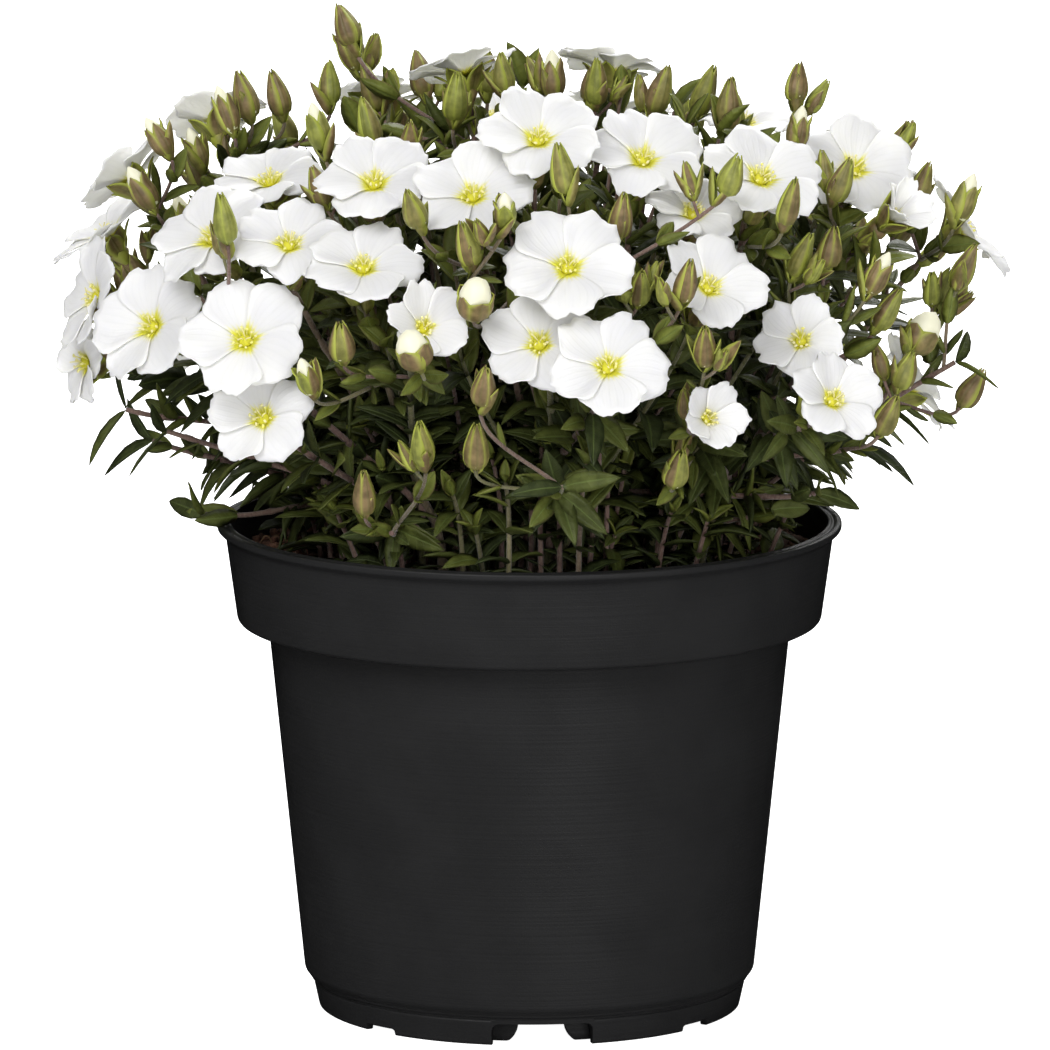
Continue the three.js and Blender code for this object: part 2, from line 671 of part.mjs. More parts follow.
function makePot() {
  const shell = turned([
    [0, FLOOR.under],
    [SKIRT.footRadius - SKIRT.width, FLOOR.under],
    [SKIRT.footRadius - SKIRT.width, 0],
    [SKIRT.footRadius, 0],
    [SKIRT.topRadius, SKIRT.top],
    [BODY.footRadius, BODY.foot],
    [BODY.topRadius, BAND.foot],
    [BAND.footRadius, BAND.foot],
    [BAND.topRadius, POT_HEIGHT - LIP.height],
    [LIP.radius, POT_HEIGHT - LIP.height],
    [LIP.radius, POT_HEIGHT],
    [BAND.topRadius - WALL, POT_HEIGHT],
    [BAND.footRadius - WALL, BAND.foot + WALL],
    [BODY.topRadius - WALL, BAND.foot + WALL],
    [BODY.footRadius - WALL, FLOOR.top],
    [0, FLOOR.top],
  ]);
  const ring = turned([
    [INNER_RING.inner, INNER_RING.foot],
    [INNER_RING.outer, INNER_RING.foot],
    [INNER_RING.outer, (FLOOR.under + FLOOR.top) / 2],
    [INNER_RING.inner, (FLOOR.under + FLOOR.top) / 2],
    [INNER_RING.inner, INNER_RING.foot],
  ]);
  const arch = new THREE.Shape();
  arch.moveTo(-ARCH.width / 2 - 0.4, -1);
  arch.lineTo(-ARCH.width / 2 + 0.2, ARCH.height - ARCH.corner);
  arch.quadraticCurveTo(-ARCH.width / 2 + 0.3, ARCH.height, -ARCH.width / 2 + ARCH.corner, ARCH.height);
  arch.lineTo(ARCH.width / 2 - ARCH.corner, ARCH.height);
  arch.quadraticCurveTo(ARCH.width / 2 - 0.3, ARCH.height, ARCH.width / 2 - 0.2, ARCH.height - ARCH.corner);
  arch.lineTo(ARCH.width / 2 + 0.4, -1);
  arch.closePath();
  const gate = new THREE.Shape();
  gate.moveTo(-ARCH.gate / 2 - ARCH.flare, -0.1);
  gate.quadraticCurveTo(-ARCH.gate / 2 - 0.6, 1.2, -ARCH.gate / 2, ARCH.height);
  gate.lineTo(ARCH.gate / 2, ARCH.height);
  gate.quadraticCurveTo(ARCH.gate / 2 + 0.6, 1.2, ARCH.gate / 2 + ARCH.flare, -0.1);
  gate.closePath();
  const small = new THREE.Shape();
  small.moveTo(-SMALL_NOTCH.width / 2, -1);
  small.lineTo(-SMALL_NOTCH.width / 2, SMALL_NOTCH.height);
  small.lineTo(SMALL_NOTCH.width / 2, SMALL_NOTCH.height);
  small.lineTo(SMALL_NOTCH.width / 2, -1);
  small.closePath();
  const inside = SKIRT.footRadius - SKIRT.width - 0.8;
  const outside = SKIRT.topRadius + 1;
  const cuts = ARCH.azimuths.flatMap((azimuth) => [
    radialBar(arch, azimuth, inside, outside),
    radialBar(gate, azimuth, INNER_RING.inner - 2, inside),
  ]);
  cuts.push(...SMALL_NOTCH.azimuths.map((azimuth) => radialBar(small, azimuth, inside, outside)));
  for (let step = 0; step < DRAIN_HOLES.count; step += 1) {
    const turn = (2 * Math.PI * (step + 0.5)) / DRAIN_HOLES.count;
    cuts.push(upright(DRAIN_HOLES.radius, FLOOR.under - 1, FLOOR.top + 1, DRAIN_HOLES.sides,
      DRAIN_HOLES.circle * Math.cos(turn), DRAIN_HOLES.circle * Math.sin(turn)));
  }
  return cuts.reduce((pot, cut) => pot.subtract(cut), shell.add(ring));
}

// The mix's uneven top: low humps by a formula, the same at every joint of the faces
function soilHeight(x, y) {
  const humps = Math.sin(x / SOIL.humps) * Math.cos(y / SOIL.humps) + 0.6 * Math.sin((x + 2 * y) / 9.0);
  return SOIL.top + SOIL.relief * humps;
}

function makeSoil(feet) {
  const ledge = BAND.foot + WALL + SOIL.gap;
  const slope = (BAND.topRadius - BAND.footRadius) / (POT_HEIGHT - LIP.height - BAND.foot);
  const edge = BAND.footRadius - WALL - SOIL.gap + slope * (SOIL.top - SOIL.rimDrop - ledge);
  const geometry = turnedGeometry([
    [0, FLOOR.top + SOIL.gap],
    [BODY.footRadius - WALL - SOIL.gap, FLOOR.top + SOIL.gap],
    [BODY.topRadius - WALL - SOIL.gap, ledge],
    [BAND.footRadius - WALL - SOIL.gap - 0.2, ledge],
    [edge - 0.2, SOIL.top - SOIL.rimDrop],
    ...SOIL.radii.toReversed().map((radius) => [radius, SOIL.top]),
    [0, SOIL.top],
  ]);
  const places = geometry.attributes.position;
  for (let index = 0; index < places.count; index += 1) {
    const height = soilHeight(places.getX(index), places.getY(index));
    if (places.getZ(index) > SOIL.top - 0.5) places.setZ(index, height);
  }
  const radius = LEADER.radius + STEM_HOLE.gap;
  const [low, high] = [SOIL.top - STEM_HOLE.depth, SOIL.top + 4];
  const holes = feet.map((foot) => upright(radius, low, high, STEM_HOLE.sides, foot.x, foot.y));
  return holes.reduce((soil, hole) => soil.subtract(hole), toSolid(geometry));
}

// One corolla: round the edge a notch and two shoulders to a petal, and the raised yellow middle
function makeCorolla(bloom) {
  const ring = (parts, turns, under) => turns.map((turn, step) => {
    const curve = petalCurve(bloom, parts[step % parts.length]);
    const out = curve.out * bloom.petal + (under ? PETAL_THICK * Math.sin(curve.slope) : 0);
    const height = curve.height * bloom.petal - (under ? PETAL_THICK * Math.cos(curve.slope) : 0);
    return inBloom(bloom, out, bloom.turn + turn, height);
  });
  const evenly = (count) => Array.from({ length: count }, (_, step) => (2 * Math.PI * step) / count);
  const edgeTurns = evenly(5).flatMap((turn) => [0, 0.3, 0.7].map((part) => turn + (part * 2 * Math.PI) / 5));
  const edgeParts = bloom.waves.map((wave, step) => (step % 3 ? 1 : 0.84) + wave);
  return lofted([
    [inBloom(bloom, 0, 0, 1.5)],
    ring([0.24], evenly(5), false),
    ring([0.62], evenly(10), false),
    ring(edgeParts, edgeTurns, false),
    ring(edgeParts, edgeTurns, true),
    ring([0.62], evenly(10), true),
    [inBloom(bloom, 0, 0, -0.9)],
  ]);
}

// A ring of places round a middle, on the plane of two directions, with one radius or several in turn
function ringOf(middle, [first, second], radii, count) {
  return Array.from({ length: count }, (_, step) => {
    const turn = (2 * Math.PI * step) / count;
    const radius = radii[step % radii.length];
    return middle.clone()
      .addScaledVector(first, radius * Math.cos(turn))
      .addScaledVector(second, radius * Math.sin(turn));
  });
}

// The faces between two rings that may differ in number; a ring of one place is a tip
function stitched(low, high) {
  const faces = [];
  let lowStep = 0;
  let highStep = 0;
  const lowTurns = low.length > 1 ? low.length : 0;
  const highTurns = high.length > 1 ? high.length : 0;
  while (lowStep < lowTurns || highStep < highTurns) {
    const lowFirst = (lowStep + 1) / lowTurns <= (highStep + 1) / highTurns;
    const lowNext = lowStep < lowTurns && (highStep >= highTurns || lowFirst);
    const from = low[lowStep % low.length];
    const to = high[highStep % high.length];
    if (lowNext) {
      faces.push([from, low[(lowStep + 1) % low.length], to]);
      lowStep += 1;
    } else {
      faces.push([from, high[(highStep + 1) % high.length], to]);
      highStep += 1;
    }
  }
  return faces;
}

// A closed solid through rings of places, from tip to tip
function lofted(rings) {
  const places = rings.flat();
  let count = 0;
  const indices = rings.map((ring) => ring.map(() => count++));
  const faces = [];
  for (let step = 0; step + 1 < indices.length; step += 1) {
    faces.push(...stitched(indices[step], indices[step + 1]));
  }
  return toSolid(fromFaces(places, faces));
}

// The rings of a rod along a path: its sideways directions are carried on from station to station
function rodRings(points, stations, radii, sides) {
  let frame = null;
  return stations.map((index, order) => {
    const ahead = points[Math.min(index + 1, points.length - 1)];
    const behind = points[Math.max(index - 1, 0)];
    const along = ahead.clone().sub(behind).normalize();
    const first = frame ? frame[0].clone() : sideways(along)[0];
    first.addScaledVector(along, -first.dot(along)).normalize();
    frame = [first, along.clone().cross(first).normalize()];
    const radius = mixed(radii[0], radii[1], order / (stations.length - 1));
    return { middle: points[index], frame, ring: ringOf(points[index], frame, [radius], sides) };
  });
}

// Where a branch or stalk starts, behind the middle line of the stem that it springs from
function rooted(points) {
  const way = points[1].clone().sub(points[0]).normalize();
  return points[0].clone().addScaledVector(way, -ROOT.behind);
}

// A stem that ends in a leafy tip, or opens into the cup of five pointed sepals under a bloom
function makeStem(stem) {
  const { sides } = stem.leads ? LEADER : STEM;
  const rings = rodRings(stem.points, stem.stations, [stem.radius, STEM.radius], sides);
  const { middle, frame } = rings.at(-1);
  const solid = [[stem.leads ? stem.points[0] : rooted(stem.points)], ...rings.map((each) => each.ring)];
  if (stem.bloom) {
    const seat = stem.bloom.middle.clone().addScaledVector(stem.bloom.axis, -SEAT);
    solid.push(ringOf(seat, [stem.bloom.across, stem.bloom.along], [CALYX.tip, CALYX.notch], 10), [seat]);
  } else {
    solid.push([middle.clone().addScaledVector(frame[0].clone().cross(frame[1]), STEM.radius)]);
  }
  return lofted(solid);
}

// A bud on its stalk: five-sided, widest low down and drawn to a point
function makeBud(stalk) {
  const { bud } = stalk;
  const start = rooted(stalk.points);
  const neck = stalk.points.at(-1);
  const way = neck.clone().sub(start).normalize();
  const points = [start, start.clone().addScaledVector(way, ROOT.neck), neck];
  const rings = rodRings(points, STALK.stations, [STALK.radius, STALK.radius], STALK.sides);
  const belly = bud.middle.clone().addScaledVector(bud.axis, -bud.length * 0.2);
  const tip = bud.middle.clone().addScaledVector(bud.axis, bud.length * (bud.open > 1 ? 0.4 : 0.5));
  return lofted([
    [start], ...rings.map((each) => each.ring), ringOf(belly, rings.at(-1).frame, [bud.radius], 5), [tip],
  ]);
}

// A lance-shaped leaf, bent over where it is widest, flat above, with a keel for its midrib below
function makeBlade(leaf) {
  const middle = leaf.way(LEAF.widest);
  const ahead = leaf.way(1).sub(leaf.way(0));
  const across = leaf.along.clone().cross(leaf.side).normalize();
  const keel = across.clone().cross(ahead).normalize();
  const ring = [
    middle.clone().addScaledVector(across, leaf.width / 2),
    middle.clone().addScaledVector(across, -leaf.width / 2),
    middle.clone().addScaledVector(keel, -LEAF.thick),
  ];
  return lofted([[leaf.way(-LEAF.behind)], ring, [leaf.way(1)]]);
}

function makeLeafyStem(owner, stems, stalks, leaves) {
  const own = (list) => list.filter((each) => each.owner === owner);
  return joined([...own(stems).map(makeStem), ...own(stalks).map(makeBud), ...own(leaves).map(makeBlade)]);
}

const MATERIALS = {
  pot: new THREE.MeshStandardMaterial({ color: 0x242425, roughness: 0.42, metalness: 0 }),
  soil: new THREE.MeshStandardMaterial({ color: 0x3b2219, roughness: 0.95, metalness: 0 }),
  foliage: new THREE.MeshStandardMaterial({ color: 0x4c5a2c, roughness: 0.6, metalness: 0 }),
  bloom: new THREE.MeshStandardMaterial({ color: 0xf6f6f2, roughness: 0.55, metalness: 0 }),
};

function addPart(group, name, solid, material) {
  const mesh = new THREE.Mesh(toGeometry(solid), material);
  mesh.name = name;
  group.add(mesh);
}

function numbered(name, index) {
  return `${name}_${String(index + 1).padStart(2, "0")}`;
}

function makePlant() {
  const group = new THREE.Group();
  const blooms = placeBlooms();
  const buds = placeBuds(blooms);
  const tufts = placeTufts();
  const feet = placeFeet();
  const stems = growStems(feet, blooms, tufts, buds);
  const stalks = growStalks(stems, blooms, buds);
  const leaves = growLeaves(stems, stalks, blooms, buds);
  addPart(group, "pot", makePot(), MATERIALS.pot);
  addPart(group, "soil", makeSoil(feet), MATERIALS.soil);
  feet.forEach((_, owner) => {
    const solid = makeLeafyStem(owner, stems, stalks, leaves);
    addPart(group, numbered("leafy_stem", owner), solid, MATERIALS.foliage);
  });
  blooms.forEach((bloom, index) => {
    addPart(group, numbered("bloom", index), makeCorolla(bloom), MATERIALS.bloom);
  });
  return group;
}

export default makePlant();
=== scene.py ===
"""A potted mountain sandwort in bloom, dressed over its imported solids.

Lengths here are millimetres, and each mesh is scaled to metres when it is made. +Z is up, -Y is the
side that is looked at, and the origin is the middle of the circle that the pot's foot stands on.
The first half repeats the rule that places the solids' blooms, buds, stems and leaves, with the same
seed and the same order of draws, so that every fine piece lies where its solid is. The second half
gives each of them its real surface.
"""
from types import SimpleNamespace

import bmesh
import bpy
import numpy as np
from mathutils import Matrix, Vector


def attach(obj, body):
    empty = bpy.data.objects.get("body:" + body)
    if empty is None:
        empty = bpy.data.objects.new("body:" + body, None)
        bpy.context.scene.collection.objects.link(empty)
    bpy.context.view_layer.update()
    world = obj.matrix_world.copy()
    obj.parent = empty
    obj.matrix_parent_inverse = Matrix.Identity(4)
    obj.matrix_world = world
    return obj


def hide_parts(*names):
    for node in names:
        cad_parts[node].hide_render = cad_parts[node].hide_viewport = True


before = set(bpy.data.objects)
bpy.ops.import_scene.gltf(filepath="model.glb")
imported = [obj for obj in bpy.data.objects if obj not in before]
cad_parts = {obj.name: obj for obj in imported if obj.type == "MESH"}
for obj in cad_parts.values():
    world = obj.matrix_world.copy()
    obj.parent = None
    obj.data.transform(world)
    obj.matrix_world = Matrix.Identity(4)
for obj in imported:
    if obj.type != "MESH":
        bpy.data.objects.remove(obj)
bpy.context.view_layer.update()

# Pot: the standard 12 cm size
WALL = 1.1
POT_HEIGHT = 94.5
LIP_RADIUS = 60.0
LIP_HEIGHT = 2.4
BAND_TOP_RADIUS = 58.4
BAND_FOOT_RADIUS = 56.1
BAND_FOOT = 75.3
BODY_TOP_RADIUS = 50.3
BODY_FOOT_RADIUS = 43.4
BODY_FOOT = 7.4
SKIRT_TOP_RADIUS = 41.8
SKIRT_TOP = 5.4
SKIRT_FOOT_RADIUS = 40.6
SKIRT_WIDTH = 1.5
FLOOR_UNDER = 4.4
FLOOR_TOP = 5.6
INNER_RING_OUTER = 37.6
INNER_RING_INNER = 36.2
INNER_RING_FOOT = 0.3
ARCH_AZIMUTHS = (3.5, 183.5)
ARCH_WIDTH = 19.3
ARCH_HEIGHT = 4.3
ARCH_CORNER = 1.6
GATE_WIDTH = 8.7
GATE_FLARE = 3.2
NOTCH_AZIMUTHS = (-44.5, 51.5, 135.5, 231.5)
NOTCH_WIDTH = 7.6
NOTCH_HEIGHT = 1.2
DRAIN_HOLES = 6
DRAIN_RADIUS = 4.0
DRAIN_CIRCLE = 24.0

# Potting mix
SOIL_TOP = 84.0
SOIL_GAP = 0.4
SOIL_RELIEF = 0.8
SOIL_HUMPS = 5.0
HOLE_DEPTH = 6.0
HOLE_GAP = 0.4

# Crown: a rounded dome whose underside narrows to the pot
SEED = 20121
VIEW_ELEVATION = 10.0
CROWN_RADIUS = 85.0
CROWN_NEAR = 77.0
CROWN_FAR = 86.5
CROWN_FOOT = 100.0
CROWN_HEIGHT = 79.0
CROWN_POWER = 2.6
CROWN_NECK = 57.0
CROWN_FLARE = 0.8
GROUPS = 14
GROUP_CIRCLE = 40.0
GROUP_MOST = 4
REAR_BLOOMS = 9
REAR_BUDS = 18
RIM_TUFTS = 10
GOLDEN_ANGLE = np.pi * (3 - np.sqrt(5))

# Stems, stalks and leaves of the solids
LEADER_RADIUS = 1.4
LEADER_RISE = 2.0
LEADER_STATIONS = (0, 1, 8, 14, 18, 21)
STEM_RADIUS = 0.85
STEM_POINTS = 21
STEM_STATIONS = (1, 7, 13, 17, 20)
STEM_ROUNDS = 60
STEM_FIXED = 2
STALK_RADIUS = 0.62
STALK_POINTS = 7
STALK_TRIES = 160
STEM_ROOM = 1.6
CUP_ROOM = 4.0
FIRST_BRANCH = 4
BRANCH_STEP = 2
SEAT = 1.3
CALYX_DROP = 4.6
BUD_LENGTH = 9.5
BUD_RADIUS = 2.3
LEAF_LENGTH = 12.5
LEAF_WIDTH = 4.4
LEAF_CURL = 0.18
LEAF_NUDGES = (0, 0.5, -0.5, 1.0, -1.0)
LEADER_NODES = (8, 12, 17)
BLOOM_NODES = (7, 14)
TUFT_NODES = (13, 20)
TUFTS_PER_GROUP = 2

# Blooms of the near side: across and up in the picture plane, azimuth from the viewer (positive to the
# right) and elevation of the way that each faces, diameter, openness from 0, a ball, to 1, flat, and for
# some how far behind the crown's skin they stand
NEAR_BLOOMS = (
    (-84, 123, -62, 6, 17, 1, 0),
    (-81.5, 135, -72, 18, 23, 1, 0),
    (-81, 147, -84, 55, 24, 1, 16),
    (-70.5, 129, -38, 28, 24, 1, 0),
    (-59, 145, -42, 48, 24.5, 1, 0),
    (-49, 156, -25, 66, 21, 1, 12),
    (-45, 143.5, 2, 55, 21.5, 1, 0),
    (-49.5, 111.5, -22, 30, 20.5, 1, 0),
    (-53, 126, -8, 32, 24.5, 1, 0),
    (-31, 139, 0, 55, 22.5, 1, 0),
    (-29, 155, -5, 54, 23, 1, 0),
    (-20, 128, 15, 30, 16, 0.6, 0),
    (-10.5, 152.5, -5, 50, 23.5, 1, 0),
    (1.5, 163, 8, 54, 24, 1, 0),
    (21, 159.5, 20, 52, 24.5, 1, 0),
    (2, 125, -12, 35, 21.5, 1, 0),
    (14.5, 120.5, 2, 38, 23, 1, 0),
    (7, 139, 2, 42, 25, 1, 0),
    (30.5, 149.5, 15, 55, 19, 1, 8),
    (33, 135.5, 22, 40, 21, 0.9, 0),
    (43, 156, 28, 50, 24, 1, 0),
    (32.5, 111.5, 25, 20, 13, 0.55, 0),
    (51, 126, -10, 30, 17, 0.8, 6),
    (56, 114.5, 30, 38, 19, 0.9, 0),
    (61.5, 159, 15, 45, 23, 1, 0),
    (68, 149.5, 45, 35, 11, 0.3, 0),
    (82, 148, 92, 36, 24, 1, 0),
)

# Blooms of the far side that show over the top of the crown
FAR_BLOOMS = (
    (-5.5, 171, 0, 76, 22, 1),
    (17, 171, 150, 76, 22, 1),
    (41.5, 169, 40, 76, 22, 1),
    (-28, 174, 180, 70, 20, 1),
    (-76, 158, -120, 45, 21, 1),
    (-60, 165, -160, 56, 20, 1),
    (64, 161, 130, 60, 21, 1),
)

# Buds of the near side: across, up, and openness from 0, closed, to 1, with white petal tips
NEAR_BUDS = (
    (-54.5, 174, 0), (-48.5, 175, 0), (-58, 171, 1), (-64, 164, 1), (-71, 166, 1), (-74, 156, 1),
    (-55, 161.5, 0), (-40, 167, 1), (-57, 149, 0), (-39.5, 155.5, 0), (-35, 184, 1), (-38.5, 177, 0),
    (-21, 179, 0), (-14, 173, 0), (-30.5, 176, 0), (-5, 178, 0), (-22.5, 164, 0), (-30.5, 168, 0),
    (4.5, 178, 1), (12.8, 176.5, 0), (6, 158, 0), (25, 175, 0), (-21.5, 150.5, 0), (-11.5, 144, 0),
    (-25, 141, 0), (20.5, 136, 0), (29, 137, 0), (17, 149.5, 0), (30.5, 149, 0), (51.5, 177, 0),
    (51, 167, 1), (38, 172, 0), (65.5, 168.5, 0), (71, 165, 0), (75, 157, 0), (59, 157, 0),
    (37.5, 157, 0), (48.5, 152, 0), (83, 154, 1), (51, 142.5, 0), (56.5, 144, 0), (79, 137, 0),
    (83, 141, 0), (67.5, 132.5, 0), (71, 121, 0), (84.5, 118, 0), (67.5, 112.5, 0), (-20, 107, 0),
    (-8.5, 117.5, 0), (-10, 106.5, 0), (27.5, 102.5, 0), (-41.5, 119.5, 1), (-35, 126, 0), (-31, 98, 0),
    (-10, 134, 2), (-21.5, 124.5, 2), (-4.5, 150, 1), (65.5, 139, 1), (74.5, 128.5, 2), (32.5, 125, 0),
)

# Tufts of leaves that stand out of the crown's lower edge: across, up and azimuth
NEAR_TUFTS = ((-77, 114, -70), (-72, 108, -60), (-62, 94, -80), (81, 123, 80), (63, 107, 60), (54, 98, 50))

SIN_VIEW = np.sin(np.radians(VIEW_ELEVATION))
COS_VIEW = np.cos(np.radians(VIEW_ELEVATION))
TO_VIEWER = np.array([0.0, -COS_VIEW, SIN_VIEW])
UP = np.array([0.0, 0.0, 1.0])
ANY_OWNER = -1


class Draws:
    """The solids' row of draws: each state is the one before times 16807, modulo 2147483647."""

    def __init__(self, seed):
        self.state = seed

    def one(self):
        self.state = self.state * 16807 % 2147483647
        return self.state / 2147483647

    def between(self, low, high):
        return low + (high - low) * self.one()


draws = Draws(SEED)


def mixed(low, high, part):
    return low + (high - low) * part


def unit(vectors):
    return vectors / np.linalg.norm(vectors, axis=-1, keepdims=True)


def facing(azimuth, elevation):
    """The direction at an azimuth from the viewer and an elevation, both in degrees."""
    turn, rise = np.radians([azimuth, elevation])
    return np.array([np.sin(turn) * np.cos(rise), -np.cos(turn) * np.cos(rise), np.sin(rise)])


def sideways(axis):
    """Two directions square to an axis and to each other, the first as level as it can be."""
    level = np.array([-axis[1], axis[0], 0.0])
    if np.linalg.norm(level) < 1e-6:
        level = np.array([1.0, 0.0, 0.0])
    level = unit(level)
    return level, unit(np.cross(axis, level))


def crown_reach(places):
    """Below 1 inside the crown: the 2.6th powers of the distances out and up, each over its own reach, are
    added, and the underside is a cone that flares from the pot's neck."""
    depth = np.where(places[..., 1] < 0, CROWN_NEAR, CROWN_FAR)
    out = np.hypot(places[..., 0], places[..., 1] * CROWN_RADIUS / depth)
    rise = np.abs(places[..., 2] - CROWN_FOOT) / CROWN_HEIGHT
    dome = (out / CROWN_RADIUS) ** CROWN_POWER + rise ** CROWN_POWER
    under = out / (CROWN_NECK + CROWN_FLARE * np.maximum(places[..., 2] - POT_HEIGHT, 0))
    return np.maximum(dome, under)


def on_crown(across, up, far=False):
    """The place on the crown's near or far skin that shows at a place of the picture plane: the first of a
    line of sight's places, a millimetre apart in depth, that is inside, or the least far out."""
    depth = np.arange(-110.0, 111.0) * (-1 if far else 1)
    places = np.stack([np.full_like(depth, across), depth, (up - depth * SIN_VIEW) / COS_VIEW], axis=1)
    reach = crown_reach(places)
    inside = np.flatnonzero(reach < 1)
    return places[inside[0] if len(inside) else np.argmin(reach)].copy()


def petal_curve(openness, part):
    """Distance out, height and slope of a petal at a part of its length, by adding up eight short steps
    whose slope turns evenly from that of the base to that of the edge."""
    first = np.radians(mixed(80, 36, openness))
    last = np.radians(mixed(66, -4, openness))
    part = np.asarray(part, dtype=float)
    slopes = mixed(first, last, part[..., None] * (np.arange(8) + 0.5) / 8)
    out = np.cos(slopes).sum(axis=-1) * part / 8
    height = np.sin(slopes).sum(axis=-1) * part / 8
    return out, height, mixed(first, last, part)


def in_bloom(bloom, out, turn, height):
    """The place at a distance out, an angle and a height in a bloom's own frame."""
    out, turn, height = np.broadcast_arrays(out, turn, height)
    return (
        bloom.middle
        + (out * np.cos(turn))[..., None] * bloom.across
        + (out * np.sin(turn))[..., None] * bloom.along
        + height[..., None] * bloom.axis
    )


def bloom_marks(bloom):
    """Places all over a bloom's cup: its middle and three rings."""
    marks = [bloom.middle[None]]
    for part, count in ((0.33, 6), (0.65, 11), (0.96, 18)):
        out, height, _ = petal_curve(bloom.open, part)
        turns = 2 * np.pi * np.arange(count) / count
        marks.append(in_bloom(bloom, out * bloom.petal, turns, height * bloom.petal))
    return np.concatenate(marks)


def bloom_root(bloom):
    return bloom.middle + np.array([-3.0, -6.5, -10.0])[:, None] * bloom.axis


def make_bloom(middle, azimuth, elevation, diameter, openness):
    axis = facing(azimuth, elevation)
    across, along = sideways(axis)
    out, height, _ = petal_curve(openness, 1.0)
    bloom = SimpleNamespace(middle=middle, axis=axis, across=across, along=along, open=openness)
    bloom.petal = diameter / 2 / out
    bloom.rim_out = diameter / 2
    bloom.rim_height = bloom.petal * height
    bloom.turn = draws.between(0, 2 * np.pi)
    bloom.waves = [draws.between(-0.035, 0.035) for _ in range(15)]
    return bloom


def from_cup(bloom, places):
    """How far places lie over a bloom's cup along its axis and beyond its rim, and the way outwards."""
    way = places - bloom.middle
    height = way @ bloom.axis
    outward = way - height[..., None] * bloom.axis
    out = np.linalg.norm(outward, axis=-1) + 1e-9
    cup = bloom.rim_height * np.minimum(out / bloom.rim_out, 1) ** 0.6
    return height - cup, out - bloom.rim_out, outward / out[..., None]


def in_cup(bloom, places, margin):
    over, beyond, _ = from_cup(bloom, places)
    return (np.abs(over) < margin) & (beyond < margin * 0.6)


def meets_cup(bloom, places, margin):
    return bool(in_cup(bloom, places, margin).any())


def settle_bloom(bloom, way, blooms):
    """Moves a bloom along a way, a millimetre at a time, until it is clear of the blooms before it."""
    for _ in range(16):
        bloom.marks = bloom_marks(bloom)
        bloom.root = bloom_root(bloom)
        own = np.concatenate([bloom.marks, bloom.root])
        near = [other for other in blooms if np.linalg.norm(other.middle - bloom.middle) < 36]
        if not any(
            meets_cup(other, own, 2.4) or meets_cup(bloom, np.concatenate([other.marks, other.root]), 2.4)
            for other in near
        ):
            break
        bloom.middle = bloom.middle + way
    blooms.append(bloom)


def crown_spread(count, lowest):
    """Places spread evenly over the crown's skin, from the top down to a height, by the golden angle."""
    step = np.arange(count)
    rise = 1 - (1 - lowest) * ((step + 0.5) / count)
    out = np.sqrt(1 - rise * rise)
    turn = step * GOLDEN_ANGLE
    x, y = np.cos(turn) * out * CROWN_RADIUS, np.sin(turn) * out * CROWN_RADIUS
    ways = np.stack([x, y, rise * CROWN_HEIGHT], 1)
    centre = np.array([0.0, 0.0, CROWN_FOOT])
    return ways * (crown_reach(ways + centre) ** (-1 / CROWN_POWER))[:, None] + centre


def place_blooms():
    """The blooms of the near side, of the far side's top, and of the rear by an even spread."""
    blooms = []
    for across, up, azimuth, elevation, diameter, openness, back in NEAR_BLOOMS:
        middle = on_crown(across, up) - TO_VIEWER * back
        settle_bloom(make_bloom(middle, azimuth, elevation, diameter, openness), TO_VIEWER, blooms)
    for across, up, azimuth, elevation, diameter, openness in FAR_BLOOMS:
        middle = on_crown(across, up, far=True)
        settle_bloom(make_bloom(middle, azimuth, elevation, diameter, openness), UP, blooms)
    left = REAR_BLOOMS
    for place in crown_spread(64, 0.18):
        apart = min(np.linalg.norm(other.middle - place) for other in blooms)
        if left > 0 and place[1] > 8 and apart > 25:
            azimuth = np.degrees(np.arctan2(place[0], -place[1])) + draws.between(-18, 18)
            rise = (place[2] - CROWN_FOOT) / CROWN_HEIGHT
            diameter = draws.between(21, 25)
            settle_bloom(make_bloom(place.copy(), azimuth, mixed(22, 70, rise), diameter, 1), UP, blooms)
            left -= 1
    return blooms


def start_bud(middle, openness):
    lean = 0.5 / CROWN_RADIUS
    across = middle[0] * lean + draws.between(-0.22, 0.22)
    deep = middle[1] * lean + draws.between(-0.22, 0.22)
    length = BUD_LENGTH * draws.between(0.85, 1.12)
    radius = BUD_RADIUS * draws.between(0.9, 1.1) * (1 + 0.3 * max(openness - 1, 0))
    axis = unit(np.array([across, deep, 1.0]))
    return SimpleNamespace(
        middle=middle, axis=axis, open=openness, length=length, radius=radius, owner=ANY_OWNER)


def bud_marks(bud):
    return bud.middle + np.array([-0.3, 0.05, 0.4])[:, None] * bud.axis * bud.length


def closest(places, others):
    return distances(places, others).min()


def settle_bud(bud, way, blooms, buds):
    """Moves a bud along a way, a millimetre at a time, until it is clear of the blooms and buds."""
    for _ in range(26):
        bud.marks = bud_marks(bud)
        over_blooms = any(meets_cup(other, bud.marks, 4) for other in blooms)
        if not over_blooms and all(closest(bud.marks, other.marks) > 6 for other in buds):
            break
        bud.middle = bud.middle + way
    buds.append(bud)


def place_buds(blooms):
    buds = []
    for across, up, openness in NEAR_BUDS:
        settle_bud(start_bud(on_crown(across, up), openness), TO_VIEWER, blooms, buds)
    left = REAR_BUDS
    for place in crown_spread(90, 0.1):
        openness = 1 if draws.one() < 0.25 else 0
        bud = start_bud(place.copy(), openness)
        clear = not any(meets_cup(other, bud_marks(bud), 4) for other in blooms)
        if left > 0 and place[1] > 10 and clear:
            settle_bud(bud, UP, blooms, buds)
            left -= 1
    return buds


